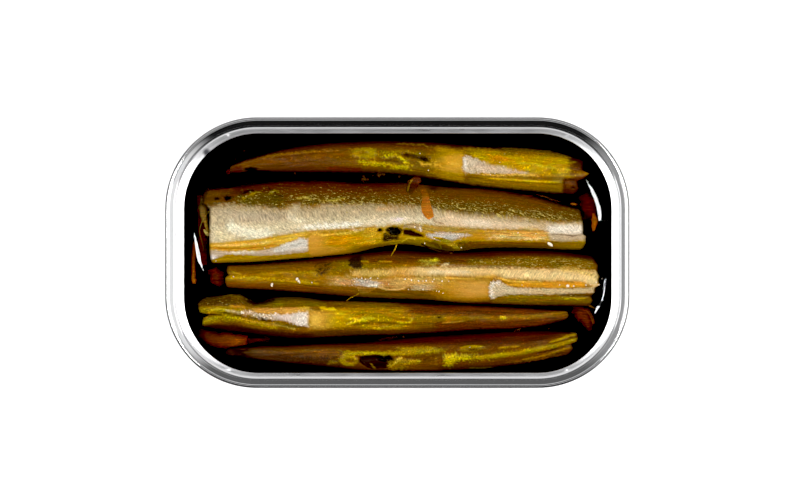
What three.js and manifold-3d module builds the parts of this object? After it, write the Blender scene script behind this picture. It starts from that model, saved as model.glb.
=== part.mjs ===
// An opened flat tin of garfish: a drawn metal tin with rounded corners, the ring of the
// peeled-off lid still seamed to its rim, amber oil inside, and five headless garfish lying
// lengthwise side by side, each partly above the oil.
//
// Millimetres, +Z up. The origin is the centre of the underside: +X runs along the tin
// and +Y across it, towards the thinnest tails.
import * as THREE from "three";
import { mergeVertices } from "three/addons/utils/BufferGeometryUtils.js";
import Module from "manifold-3d";

const wasm = await Module();
wasm.setup();

// Driving dimensions of the tin, over the seam.
const TIN_LENGTH = 108;
const TIN_WIDTH = 63;
const TIN_HEIGHT = 28;
const CORNER_RADIUS = 21.3;
const SHEET = 0.35;

// Levels, measured up from the surface that the tin stands on.
const OIL_LEVEL = 20.4;
const LEDGE_TOP = 25.1;
const SEAM_BOTTOM = 24.9;

// Insets are distances inward from the seam's outer outline, seen from above.
const WALL_TOP_INSET = 1.2;
const WALL_FOOT_INSET = 1.9;
const FLANGE_INSET = 0.6;
const LEDGE_INSET = 3.85;

// Two pieces that touch keep this gap.
const CLEARANCE = 0.3;

const CORNER_STEPS = 9;

// The outline of the tin seen from above, moved inward by inset, at height z.
function outline(inset, z) {
  const radius = CORNER_RADIUS - inset;
  const corner = {
    x: TIN_LENGTH / 2 - CORNER_RADIUS,
    y: TIN_WIDTH / 2 - CORNER_RADIUS,
  };
  const points = [];
  for (let quarter = 0; quarter < 4; quarter++) {
    const sideX = quarter === 0 || quarter === 3 ? 1 : -1;
    const sideY = quarter < 2 ? 1 : -1;
    for (let step = 0; step <= CORNER_STEPS; step++) {
      const angle = ((quarter + step / CORNER_STEPS) * Math.PI) / 2;
      points.push(
        new THREE.Vector3(
          sideX * corner.x + radius * Math.cos(angle),
          sideY * corner.y + radius * Math.sin(angle),
          z,
        ),
      );
    }
  }
  return points;
}

// Joins loops of equally many points into one closed surface. Each end is closed by a fan
// about its centre, unless the last loop runs on into the first.
function skin(loops, endless = false) {
  const count = loops[0].length;
  const positions = loops.flat().flatMap((point) => point.toArray());
  const faces = [];
  const spans = endless ? loops.length : loops.length - 1;
  for (let i = 0; i < spans; i++) {
    const lower = i * count;
    const upper = ((i + 1) % loops.length) * count;
    for (let j = 0; j < count; j++) {
      const next = (j + 1) % count;
      faces.push(lower + j, lower + next, upper + next);
      faces.push(lower + j, upper + next, upper + j);
    }
  }
  if (!endless) {
    for (const [at, turn] of [[0, -1], [loops.length - 1, 1]]) {
      const centre = new THREE.Vector3();
      loops[at].forEach((point) => centre.addScaledVector(point, 1 / count));
      const hub = positions.length / 3;
      positions.push(...centre.toArray());
      for (let j = 0; j < count; j++) {
        const edge = [at * count + j, at * count + ((j + 1) % count)];
        faces.push(hub, ...(turn > 0 ? edge : edge.reverse()));
      }
    }
  }
  const geometry = new THREE.BufferGeometry();
  geometry.setAttribute("position", new THREE.Float32BufferAttribute(positions, 3));
  geometry.setIndex(faces);
  return geometry;
}

function toSolid(geometry) {
  const merged = mergeVertices(geometry, 1e-4);
  return new wasm.Manifold(
    new wasm.Mesh({
      numProp: 3,
      vertProperties: new Float32Array(merged.attributes.position.array),
      triVerts: new Uint32Array(merged.index.array),
    }),
  );
}

function toGeometry(solid) {
  const mesh = solid.getMesh();
  const geometry = new THREE.BufferGeometry();
  geometry.setAttribute("position", new THREE.BufferAttribute(mesh.vertProperties, 3));
  geometry.setIndex(new THREE.BufferAttribute(mesh.triVerts, 1));
  return geometry;
}

function named(name, geometry, material) {
  geometry.computeVertexNormals();
  const mesh = new THREE.Mesh(geometry, material);
  mesh.name = name;
  return mesh;
}

// The tin is drawn from one sheet: a recessed panel underneath, a flat foot around it,
// a rounded heel, and a wall that widens a little on its way up. At the top a flange
// flares out and stands up into the seam.
const PANEL_RECESS = 0.9;
const PANEL_INSET = 8.4;
const FOOT_INNER_INSET = 6.8;
const HEEL_RADIUS = 2.6;
const WALL_TOP = 24.2;
const FLANGE_BEND = 25.2;
const FLANGE_TOP = 26.8;
const HEEL_STEPS = 4;

// The inset of the wall's outer face at a height above the heel.
function wallInset(z) {
  const rise = (z - HEEL_RADIUS) / (WALL_TOP - HEEL_RADIUS);
  return THREE.MathUtils.lerp(WALL_FOOT_INSET, WALL_TOP_INSET, rise);
}

// The quarter-round heel from the foot to the wall, moved inward by the given thickness.
function heel(thickness) {
  const loops = [];
  for (let step = 0; step <= HEEL_STEPS; step++) {
    const angle = ((step / HEEL_STEPS) * Math.PI) / 2;
    const radius = HEEL_RADIUS - thickness;
    loops.push([
      WALL_FOOT_INSET + HEEL_RADIUS - radius * Math.sin(angle),
      HEEL_RADIUS - radius * Math.cos(angle),
    ]);
  }
  return loops;
}

function tinBody() {
  const outside = [
    [PANEL_INSET, PANEL_RECESS],
    [FOOT_INNER_INSET, 0],
    ...heel(0),
    [WALL_TOP_INSET, WALL_TOP],
    [FLANGE_INSET, FLANGE_BEND],
    [FLANGE_INSET, FLANGE_TOP],
  ];
  const inside = [
    [FLANGE_INSET + SHEET, FLANGE_TOP],
    [FLANGE_INSET + SHEET, FLANGE_BEND],
    [WALL_TOP_INSET + SHEET, WALL_TOP],
    ...heel(SHEET).reverse(),
    [FOOT_INNER_INSET, SHEET],
    [PANEL_INSET, PANEL_RECESS + SHEET],
  ];
  return skin([...outside, ...inside].map(([inset, z]) => outline(inset, z)));
}

// The lid ring is what stays when the lid's panel is pulled off. It folds over the flange
// as a hook, slopes down inside, and ends in a narrow ledge with the torn edge.
const SEAM_LIP = 0.15;
const SEAM_SHOULDER = 0.7;
const CREST_INNER_INSET = 0.85;
const CREST_RADIUS = 0.6;
const CHUCK_FOOT_INSET = 2.25;
const CHUCK_FOOT_RADIUS = 0.5;
const ARC_STEPS = 4;

// Points of an arc about a centre, from one angle to another in degrees.
function arc([inset, z], radius, from, to) {
  return Array.from({ length: ARC_STEPS + 1 }, (_, step) => {
    const angle = THREE.MathUtils.degToRad(from + ((to - from) * step) / ARC_STEPS);
    return [inset + radius * Math.cos(angle), z + radius * Math.sin(angle)];
  });
}

function lidRing() {
  const grooveTop = FLANGE_TOP + CLEARANCE;
  const grooveInner = FLANGE_INSET + SHEET + CLEARANCE;
  const grooveOuter = FLANGE_INSET - CLEARANCE;
  const section = [
    [SEAM_LIP, SEAM_BOTTOM],
    [0, SEAM_BOTTOM + SEAM_LIP],
    ...arc([SEAM_SHOULDER, TIN_HEIGHT - SEAM_SHOULDER], SEAM_SHOULDER, 180, 90),
    ...arc([CREST_INNER_INSET, TIN_HEIGHT - CREST_RADIUS], CREST_RADIUS, 90, 0),
    ...arc(
      [CHUCK_FOOT_INSET + CHUCK_FOOT_RADIUS, LEDGE_TOP + CHUCK_FOOT_RADIUS],
      CHUCK_FOOT_RADIUS,
      180,
      270,
    ),
    [LEDGE_INSET, LEDGE_TOP],
    [LEDGE_INSET, LEDGE_TOP - SHEET],
    [CHUCK_FOOT_INSET + CHUCK_FOOT_RADIUS, LEDGE_TOP - SHEET],
    [CHUCK_FOOT_INSET - SHEET, LEDGE_TOP + CHUCK_FOOT_RADIUS],
    [grooveInner, grooveTop],
    [grooveOuter, grooveTop],
    [grooveOuter, SEAM_BOTTOM],
  ];
  return skin(section.map(([inset, z]) => outline(inset, z)), true);
}

// Each garfish is a long body lying on its side, with the head and the tail cut off. Its
// stations run along X and give both edges seen from above, the back and then the belly, and
// the height of the crest. Thickness is a share of the width, and roll turns the back down
// into the oil. The fold is the shallow groove between flank and belly strip, from the left
// end to the right, as a share of half the width, positive towards the back.
const FISH = [
  {
    name: "garfish_1",
    thickness: 0.8,
    roll: -6,
    fold: [0.1, -0.3],
    stations: [
      { x: -38.6, back: 21.6, belly: 18.5, crest: 21.0 },
      { x: -27.3, back: 24.4, belly: 18.9, crest: 21.8 },
      { x: -15.6, back: 26.2, belly: 18.8, crest: 22.6 },
      { x: 0.6, back: 26.5, belly: 17.3, crest: 23.0 },
      { x: 16.9, back: 25.6, belly: 16.1, crest: 23.1 },
      { x: 30.9, back: 24.6, belly: 14.8, crest: 22.9 },
      { x: 44.3, back: 22.4, belly: 15.4, crest: 22.4 },
    ],
  },
  {
    name: "garfish_2",
    thickness: 0.6,
    roll: -9,
    fold: [-0.45, -0.35],
    stations: [
      { x: -44.2, back: 15.2, belly: -2.6, crest: 23.3 },
      { x: -34.2, back: 15.9, belly: -2.1, crest: 23.4 },
      { x: -22.6, back: 16.9, belly: -1.0, crest: 23.4 },
      { x: -11.0, back: 16.6, belly: 0.6, crest: 23.3 },
      { x: 0.6, back: 16.1, belly: 2.2, crest: 23.2 },
      { x: 16.9, back: 14.4, belly: 1.5, crest: 23.2 },
      { x: 30.9, back: 13.1, belly: 1.2, crest: 23.2 },
      { x: 44.1, back: 10.4, belly: 0.6, crest: 23.1 },
    ],
  },
  {
    name: "garfish_3",
    thickness: 0.78,
    roll: -7,
    fold: [-0.2, 0.1],
    stations: [
      { x: -40.3, back: -2.9, belly: -8.2, crest: 22.2 },
      { x: -27.3, back: -2.4, belly: -8.9, crest: 22.5 },
      { x: -15.6, back: -1.5, belly: -9.9, crest: 22.9 },
      { x: 0.6, back: 0.1, belly: -11.2, crest: 23.2 },
      { x: 14.6, back: 0.5, belly: -11.5, crest: 23.3 },
      { x: 30.9, back: 0.2, belly: -12.1, crest: 23.3 },
      { x: 46.7, back: -0.8, belly: -12.7, crest: 23.2 },
    ],
  },
  {
    name: "garfish_4",
    thickness: 0.85,
    roll: 5,
    fold: [0.0, 0.3],
    stations: [
      { x: -46.6, back: -10.3, belly: -17.5, crest: 22.3 },
      { x: -34.2, back: -9.9, belly: -19.5, crest: 22.7 },
      { x: -22.6, back: -10.6, belly: -20.2, crest: 22.9 },
      { x: -5.0, back: -11.8, belly: -19.6, crest: 22.8 },
      { x: 12.3, back: -12.4, belly: -18.5, crest: 22.6 },
      { x: 28.0, back: -12.9, belly: -17.3, crest: 22.3 },
      { x: 41.8, back: -13.7, belly: -16.5, crest: 22.1 },
    ],
  },
  {
    name: "garfish_5",
    thickness: 0.85,
    roll: 6,
    fold: [0.0, 0.2],
    stations: [
      { x: -38.0, back: -22.2, belly: -25.4, crest: 21.0 },
      { x: -22.6, back: -21.4, belly: -26.7, crest: 21.7 },
      { x: -8.0, back: -20.5, belly: -27.5, crest: 22.4 },
      { x: 8.0, back: -19.7, belly: -27.8, crest: 22.8 },
      { x: 23.9, back: -19.2, belly: -27.1, crest: 22.8 },
      { x: 42.6, back: -18.8, belly: -23.4, crest: 22.4 },
    ],
  },
];
const FISH_SECTIONS = 16;
const FISH_SIDES = 16;
const FOLD_DEPTH = 0.55;
const END_ROUNDING = 0.9;
const END_SHRINK = 0.86;

// The flank bulges more than an ellipse does: 2 gives an ellipse, and more is squarer.
const SQUARENESS = 2.3;

function superellipse(angle) {
  const power = 2 / SQUARENESS;
  const side = Math.cos(angle);
  const up = Math.sin(angle);
  return [Math.sign(side) * Math.abs(side) ** power, Math.sign(up) * Math.abs(up) ** power];
}

// One fish, grown on every side by extra, which leaves the gap where the oil meets it.
function fishBody(fish, extra = 0) {
  const follow = new THREE.CubicInterpolant(
    fish.stations.map((station) => station.x),
    fish.stations.flatMap(({ back, belly, crest }) => [back, belly, crest]),
    3,
  );
  const first = fish.stations[0].x;
  const last = fish.stations[fish.stations.length - 1].x;
  const length = last - first;
  const roll = THREE.MathUtils.degToRad(fish.roll);
  const shares = Array.from({ length: FISH_SECTIONS + 1 }, (_, i) => i / FISH_SECTIONS);
  shares.splice(1, 0, END_ROUNDING / length);
  shares.splice(-1, 0, 1 - END_ROUNDING / length);
  const loops = shares.map((share, i) => {
    const [back, belly, crest] = follow.evaluate(THREE.MathUtils.lerp(first, last, share));
    const shrink = i === 0 || i === shares.length - 1 ? END_SHRINK : 1;
    const half = (back - belly) / 2;
    const thick = half * fish.thickness;
    const rise = Math.hypot(half * Math.sin(roll), thick * Math.cos(roll));
    const fold = Math.acos(THREE.MathUtils.lerp(...fish.fold, share));
    const x = THREE.MathUtils.lerp(first - extra, last + extra, share);
    return Array.from({ length: FISH_SIDES }, (_, j) => {
      const [side, up] = superellipse(fold + (j / FISH_SIDES) * Math.PI * 2);
      const dip = j === 0 ? FOLD_DEPTH : 0;
      const wide = (half * shrink + extra) * side;
      const high = (thick * shrink + extra) * up - dip;
      return new THREE.Vector3(
        x,
        (back + belly) / 2 + wide * Math.cos(roll) - high * Math.sin(roll),
        crest - rise + wide * Math.sin(roll) + high * Math.cos(roll),
      );
    });
  });
  return skin(loops);
}

// The oil fills the tin to its level, a clearance off the sheet, and is cut out around
// each fish.
const OIL_FLOOR = PANEL_RECESS + SHEET + CLEARANCE;

function oil() {
  const edge = SHEET + CLEARANCE;
  const filling = skin([
    outline(WALL_FOOT_INSET + HEEL_RADIUS, OIL_FLOOR),
    outline(wallInset(HEEL_RADIUS) + edge, HEEL_RADIUS + OIL_FLOOR),
    outline(wallInset(OIL_LEVEL) + edge, OIL_LEVEL),
  ]);
  const cut = FISH.reduce(
    (left, fish) => left.subtract(toSolid(fishBody(fish, CLEARANCE))),
    toSolid(filling),
  );
  return toGeometry(cut);
}

const bareMetal = new THREE.MeshStandardMaterial({
  color: 0xc9cbcc,
  roughness: 0.28,
  metalness: 1,
});
const tornMetal = new THREE.MeshStandardMaterial({
  color: 0xd2d3d4,
  roughness: 0.22,
  metalness: 1,
});
const goldenSkin = new THREE.MeshStandardMaterial({
  color: 0xa87f1e,
  roughness: 0.3,
  metalness: 0.2,
});
const silverSkin = new THREE.MeshStandardMaterial({
  color: 0xcbb88c,
  roughness: 0.28,
  metalness: 0.4,
});
const amberOil = new THREE.MeshStandardMaterial({
  color: 0x3a1602,
  roughness: 0.05,
  metalness: 0,
});
const SILVER_SIDED = ["garfish_2", "garfish_3"];

const tin = new THREE.Group();
tin.add(named("tin_body", tinBody(), bareMetal));
tin.add(named("lid_ring", lidRing(), tornMetal));
tin.add(named("oil", oil(), amberOil));
for (const fish of FISH) {
  const skinColour = SILVER_SIDED.includes(fish.name) ? silverSkin : goldenSkin;
  tin.add(named(fish.name, fishBody(fish), skinColour));
}

export default tin;
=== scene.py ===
# An opened flat tin of garfish in oil, seen in a plain pale studio.
import math

import bpy
import numpy as np
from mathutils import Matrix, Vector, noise


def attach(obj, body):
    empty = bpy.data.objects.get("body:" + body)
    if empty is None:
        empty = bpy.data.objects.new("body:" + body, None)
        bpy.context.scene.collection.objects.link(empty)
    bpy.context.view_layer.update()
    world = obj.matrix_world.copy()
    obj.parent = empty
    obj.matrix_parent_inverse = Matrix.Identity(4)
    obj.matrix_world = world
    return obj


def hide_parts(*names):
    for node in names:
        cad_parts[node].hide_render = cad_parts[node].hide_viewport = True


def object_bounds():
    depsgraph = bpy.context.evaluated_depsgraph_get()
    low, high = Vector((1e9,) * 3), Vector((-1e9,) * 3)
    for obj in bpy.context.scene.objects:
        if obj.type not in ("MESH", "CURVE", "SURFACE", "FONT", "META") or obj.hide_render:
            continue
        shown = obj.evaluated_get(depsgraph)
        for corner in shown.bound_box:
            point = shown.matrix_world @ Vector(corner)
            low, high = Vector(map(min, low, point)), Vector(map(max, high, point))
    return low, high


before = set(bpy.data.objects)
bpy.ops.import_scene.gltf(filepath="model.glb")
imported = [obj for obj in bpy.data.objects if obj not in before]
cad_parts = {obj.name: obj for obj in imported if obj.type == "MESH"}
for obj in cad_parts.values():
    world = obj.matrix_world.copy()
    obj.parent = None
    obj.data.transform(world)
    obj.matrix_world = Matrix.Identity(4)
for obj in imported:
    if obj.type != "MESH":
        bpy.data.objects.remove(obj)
cad_low, cad_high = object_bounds()

# The studio has a camera far above the tin that looks straight down, a bright strip lamp
# above it on either side, and a wide dim lamp beyond each of those.
VIEW_WIDTH = 0.186
CAMERA_HEIGHT = 0.72
CAMERA_PLACE = (0.00063, 0.00072)
SENSOR_WIDTH = 36.0

scene = bpy.context.scene
camera_data = bpy.data.cameras.new("camera")
camera_data.sensor_width = SENSOR_WIDTH
camera_data.lens = SENSOR_WIDTH * (CAMERA_HEIGHT - cad_high.z) / VIEW_WIDTH
camera_data.clip_end = 10.0
camera = bpy.data.objects.new("camera", camera_data)
camera.location = (*CAMERA_PLACE, CAMERA_HEIGHT)
scene.collection.objects.link(camera)
scene.camera = camera
scene.view_settings.view_transform = "Standard"


def hang_lamp(name, place, size, brightness):
    """A soft lamp that faces the tin, its size given along Y and then across. Brightness is
    its glow, whatever its size."""
    lamp = bpy.data.lights.new(name, "AREA")
    lamp.shape = "RECTANGLE"
    lamp.size, lamp.size_y = size
    lamp.energy = brightness * math.pi * size[0] * size[1]
    holder = bpy.data.objects.new(name, lamp)
    holder.location = place
    holder.rotation_euler = (-holder.location).to_track_quat("-Z", "Y").to_euler()
    holder.visible_camera = False
    scene.collection.objects.link(holder)


hang_lamp("strip_right", place=(0.245, 0.0, 0.74), size=(0.36, 0.07), brightness=25.0)
hang_lamp("strip_left", place=(-0.25, -0.03, 0.74), size=(0.34, 0.07), brightness=25.0)
hang_lamp("wide_right", place=(0.72, 0.05, 0.56), size=(0.6, 0.36), brightness=1.4)
hang_lamp("wide_left", place=(-0.72, 0.0, 0.56), size=(0.6, 0.36), brightness=1.0)

# The room is what the metal and the oil mirror: dark straight overhead, bright below that, and
# dimmer down the walls. Each wall has its own light at each height, and the front is darkest.
END_GLOW = 0.9
SIDE_GLOW = 0.85
OVERHEAD_GLOW = 0.02

world = bpy.data.worlds.new("studio")
world.use_nodes = True
scene.world = world
air = world.node_tree
direction = air.nodes.new("ShaderNodeTexCoord")
split = air.nodes.new("ShaderNodeSeparateXYZ")
air.links.new(direction.outputs["Generated"], split.inputs[0])


def fade(value, low, high, at_low, at_high):
    """A soft change of the room's light between two values of one direction."""
    change = air.nodes.new("ShaderNodeMapRange")
    change.interpolation_type = "SMOOTHSTEP"
    for name, given in (
        ("Value", value),
        ("From Min", low),
        ("From Max", high),
        ("To Min", at_low),
        ("To Max", at_high),
    ):
        if isinstance(given, bpy.types.NodeSocket):
            air.links.new(given, change.inputs[name])
        else:
            change.inputs[name].default_value = given
    return change.outputs[0]


end_on = air.nodes.new("ShaderNodeMath")
end_on.operation = "ABSOLUTE"
air.links.new(split.outputs["X"], end_on.inputs[0])


def around(left, right, front, back):
    """A light with its own strength toward each wall of the room."""
    ends = fade(split.outputs["X"], -0.5, 0.5, left, right)
    sides = fade(split.outputs["Y"], -0.5, 0.5, front, back)
    return fade(end_on.outputs[0], 0.45, 0.8, sides, ends)


height = split.outputs["Z"]
bright = fade(end_on.outputs[0], 0.15, 0.6, SIDE_GLOW, END_GLOW)
upper_wall = around(left=0.3, right=0.4, front=0.02, back=0.13)
middle_wall = around(left=0.36, right=0.9, front=0.02, back=0.13)
wall_foot = around(left=0.02, right=0.12, front=0.01, back=0.3)
in_front = fade(height, 0.70, 0.78, upper_wall, bright)
glow = fade(height, 0.52, 0.66, upper_wall, bright)
glow = fade(split.outputs["Y"], -0.45, -0.25, in_front, glow)
glow = fade(height, 0.38, 0.44, middle_wall, glow)
glow = fade(height, 0.17, 0.22, wall_foot, glow)
glow = fade(height, 0.86, 0.97, glow, OVERHEAD_GLOW)
air.links.new(glow, air.nodes["Background"].inputs["Strength"])
air.nodes["Background"].inputs["Color"].default_value = (1.0, 1.0, 1.0, 1.0)

# The floor is a matt white sweep that glows a little, so that it stays white round the tin. The
# picture is taken a little hard, with deep blacks and a white ground.
FLOOR_SIZE = 6.0
FLOOR_DROP = 0.0003

curve = scene.view_settings
curve.use_curve_mapping = True
curve.curve_mapping.black_level = (0.008, 0.008, 0.008)
curve.curve_mapping.white_level = (0.91, 0.91, 0.91)
curve.curve_mapping.update()

bpy.ops.object.select_all(action="DESELECT")
bpy.ops.mesh.primitive_plane_add(size=FLOOR_SIZE, location=(0, 0, -FLOOR_DROP))
floor = bpy.context.object
floor.name = "floor"


def new_paint(name):
    """A new material, with its node tree and its shader."""
    paint = bpy.data.materials.new(name)
    paint.use_nodes = True
    return paint, paint.node_tree, paint.node_tree.nodes["Principled BSDF"]


floor_paint, _, floor_shader = new_paint("white_sweep")
floor_shader.inputs["Base Color"].default_value = (0.95, 0.95, 0.95, 1.0)
floor_shader.inputs["Roughness"].default_value = 0.9
floor_shader.inputs["Specular IOR Level"].default_value = 0.1
floor_shader.inputs["Emission Color"].default_value = (1.0, 1.0, 1.0, 1.0)
floor_shader.inputs["Emission Strength"].default_value = 0.28
floor.data.materials.append(floor_paint)

# The tin body is one aluminium sheet, drawn deep in a press. The wall leans out a little on
# its way up, the heel is round, and a panel is pressed up into the underside. A flange at
# the top stands up into the seam. Sizes are in millimetres until the piece is finished.
TIN_LENGTH = 108.0
TIN_WIDTH = 63.0
TIN_HEIGHT = 28.0
CORNER_RADIUS = 21.3
CORNER_X = TIN_LENGTH / 2 - CORNER_RADIUS
CORNER_Y = TIN_WIDTH / 2 - CORNER_RADIUS
CORNER_CUTS = 28
SIDE_CUTS = 24
MM = 0.001
TIN_SHEET = 0.35
FLANGE_INSET = 0.6
FLANGE_TOP = 26.8
WALL_TOP = 24.2
WALL_TOP_INSET = 1.2
WALL_FOOT_INSET = 1.9
HEEL_RADIUS = 2.6
FOOT_INSET = 6.8
PANEL_INSET = 8.4
PANEL_RISE = 0.9


def start_outline(name, inset, height, faces_up):
    """A flat face in the outline of the tin, moved inward by inset, left in edit mode."""
    bpy.ops.object.select_all(action="DESELECT")
    bpy.ops.mesh.primitive_plane_add(size=1.0, location=(0, 0, 0))
    plate = bpy.context.object
    plate.name = name
    bpy.ops.object.mode_set(mode="EDIT")
    bpy.ops.mesh.select_all(action="SELECT")
    size = (TIN_LENGTH - 2 * inset, TIN_WIDTH - 2 * inset, 1.0)
    bpy.ops.transform.resize(value=size, center_override=(0, 0, 0))
    bpy.ops.transform.translate(value=(0, 0, height))
    radius = CORNER_RADIUS - inset
    bpy.ops.mesh.bevel(offset=radius, offset_pct=0, segments=CORNER_CUTS, affect="VERTICES")
    bpy.ops.mesh.select_all(action="DESELECT")
    bpy.ops.object.mode_set(mode="OBJECT")
    shortest_side = TIN_WIDTH - 2 * CORNER_RADIUS
    for edge in plate.data.edges:
        start, end = (plate.data.vertices[i].co for i in edge.vertices)
        edge.select = (end - start).length > shortest_side / 2
    bpy.ops.object.mode_set(mode="EDIT")
    bpy.ops.mesh.select_mode(type="EDGE")
    bpy.ops.mesh.subdivide(number_cuts=SIDE_CUTS)
    bpy.ops.mesh.select_mode(type="FACE")
    bpy.ops.mesh.select_all(action="SELECT")
    if not faces_up:
        bpy.ops.mesh.flip_normals()
    return plate


def follow_profile(path, faces_up):
    """Carries the selected flat face inward along a profile of (inset, height) points."""
    facing = 1.0 if faces_up else -1.0
    for (inset, level), (next_inset, next_level) in zip(path, path[1:]):
        step = next_inset - inset
        rise = (next_level - level) * facing
        bpy.ops.mesh.inset(thickness=step, depth=rise, use_even_offset=True)


def round_bend(centre, radius, start, stop, steps):
    """Profile points on an arc about a centre, from one angle to another in degrees."""
    turns = [math.radians(start + (stop - start) * i / steps) for i in range(steps + 1)]
    return [
        (centre[0] + radius * math.cos(turn), centre[1] + radius * math.sin(turn))
        for turn in turns
    ]


def thicken(piece, thickness):
    """Gives a surface a thickness, away from its outer side."""
    solid = piece.modifiers.new("sheet", "SOLIDIFY")
    solid.thickness = thickness
    solid.offset = -1.0
    bpy.ops.object.modifier_apply(modifier=solid.name)


def give_thickness(piece, thickness, edge_radius):
    """Turns a surface into sheet metal with softened edges."""
    thicken(piece, thickness)
    edge = piece.modifiers.new("edge", "BEVEL")
    edge.width = edge_radius
    edge.segments = 2
    edge.limit_method = "ANGLE"
    edge.angle_limit = math.radians(60)
    bpy.ops.object.modifier_apply(modifier=edge.name)


def finish_piece(piece, node, smooth_angle=40):
    """Brings a piece from millimetres to metres and hangs it on the frame for its node."""
    bpy.ops.object.select_all(action="DESELECT")
    piece.select_set(True)
    bpy.context.view_layer.objects.active = piece
    piece.scale = (MM, MM, MM)
    bpy.ops.object.transform_apply(location=True, rotation=True, scale=True)
    bpy.ops.object.shade_smooth_by_angle(angle=math.radians(smooth_angle))
    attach(piece, "root")
    if node:
        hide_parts(node)


tin = start_outline("tin_shell", FLANGE_INSET, FLANGE_TOP, faces_up=False)
heel_centre = (WALL_FOOT_INSET + HEEL_RADIUS, HEEL_RADIUS)
follow_profile(
    [
        (FLANGE_INSET, FLANGE_TOP),
        (FLANGE_INSET, WALL_TOP + 1.2),
        (FLANGE_INSET + 0.2, WALL_TOP + 0.75),
        (WALL_TOP_INSET - 0.15, WALL_TOP + 0.35),
        (WALL_TOP_INSET, WALL_TOP - 0.1),
        (1.4, 18.0),
        (1.6, 11.0),
        *round_bend(heel_centre, HEEL_RADIUS, 180, 270, 8),
        (FOOT_INSET, 0.0),
        (FOOT_INSET + 0.35, 0.12),
        (PANEL_INSET - 0.35, PANEL_RISE - 0.12),
        (PANEL_INSET, PANEL_RISE),
        (PANEL_INSET + 4.0, PANEL_RISE),
    ],
    faces_up=False,
)
bpy.ops.object.mode_set(mode="OBJECT")
give_thickness(tin, TIN_SHEET, 0.08)


def places_of(piece):
    """The piece's vertices as an array, one row each."""
    flat = np.empty(len(piece.data.vertices) * 3)
    piece.data.vertices.foreach_get("co", flat)
    return flat.reshape(-1, 3)


def put_places(piece, places):
    """Moves the piece's vertices to the rows of an array."""
    piece.data.vertices.foreach_set("co", places.reshape(-1))
    piece.data.update()


def from_outline(x, y, inset):
    """Distance inward from the tin's outline moved in by inset."""
    past_x = np.abs(x) - CORNER_X
    past_y = np.abs(y) - CORNER_Y
    outside = np.hypot(np.maximum(past_x, 0), np.maximum(past_y, 0))
    return CORNER_RADIUS - inset - outside - np.minimum(np.maximum(past_x, past_y), 0)


def map_run(piece):
    """A UV map with U across the metal's run round the tin and V along it, in centimetres."""
    spots = places_of(piece)
    core_x = np.clip(spots[:, 0], -CORNER_X, CORNER_X)
    core_y = np.clip(spots[:, 1], -CORNER_Y, CORNER_Y)
    turn = np.arctan2(spots[:, 1] - core_y, spots[:, 0] - core_x)
    run = CORNER_RADIUS * turn + core_y * np.cos(turn) - core_x * np.sin(turn)
    across = from_outline(spots[:, 0], spots[:, 1], 0.0) + (TIN_HEIGHT - spots[:, 2])
    whole = 2 * math.pi * CORNER_RADIUS
    corners = np.empty(len(piece.data.loops), int)
    piece.data.loops.foreach_get("vertex_index", corners)
    starts = np.empty(len(piece.data.polygons), int)
    piece.data.polygons.foreach_get("loop_start", starts)
    v = run[corners]
    largest = np.maximum.reduceat(v, starts)
    counts = np.diff(np.append(starts, len(corners)))
    v = np.where(np.repeat(largest, counts) - v > whole / 2, v + whole, v)
    layer = piece.data.uv_layers.new(name="run")
    layer.data.foreach_set("uv", np.column_stack([across[corners], v]).reshape(-1) * 0.1)


def add(tree, kind, **settings):
    """A new node. A setting named after an input sets that input, and any other the node."""
    made = tree.nodes.new(kind)
    for name, value in settings.items():
        if name in made.inputs:
            socket = made.inputs[name]
            if isinstance(value, bpy.types.NodeSocket):
                tree.links.new(value, socket)
            else:
                socket.default_value = value
        else:
            setattr(made, name, value)
    return made


def work_out(tree, operation, *values):
    """The result of a Math node on sockets or numbers."""
    node = tree.nodes.new("ShaderNodeMath")
    node.operation = operation
    for socket, value in zip(node.inputs, values):
        if isinstance(value, bpy.types.NodeSocket):
            tree.links.new(value, socket)
        else:
            socket.default_value = value
    return node.outputs[0]


def step_up(tree, value, low, high):
    """A soft mask that is 0 below low and 1 above high."""
    node = add(tree, "ShaderNodeMapRange", interpolation_type="SMOOTHSTEP")
    tree.links.new(value, node.inputs["Value"])
    node.inputs["From Min"].default_value = low
    node.inputs["From Max"].default_value = high
    return node.outputs[0]


def mix_colour(tree, share, first, second, way="MIX"):
    """The blend of two colours. Input 0 of the node is the share, and 6 and 7 are the colours."""
    node = add(tree, "ShaderNodeMix", data_type="RGBA", blend_type=way, clamp_factor=True)
    for index, value in ((0, share), (6, first), (7, second)):
        socket = node.inputs[index]
        if isinstance(value, bpy.types.NodeSocket):
            tree.links.new(value, socket)
        elif isinstance(value, tuple):
            socket.default_value = (*value, 1.0)
        else:
            socket.default_value = value
    return node.outputs[2]


NUMBER = "NodeSocketFloat"
VECTOR = "NodeSocketVector"
COLOUR = "NodeSocketColor"


def new_group(name, inputs, outputs):
    """A node group with named sockets, and what comes into it and what it puts out."""
    group = bpy.data.node_groups.new(name, "ShaderNodeTree")
    for side, sockets in (("INPUT", inputs), ("OUTPUT", outputs)):
        for socket_name, kind in sockets.items():
            group.interface.new_socket(socket_name, in_out=side, socket_type=kind)
    given = group.nodes.new("NodeGroupInput").outputs
    result = group.nodes.new("NodeGroupOutput").inputs
    return group, given, result


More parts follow.
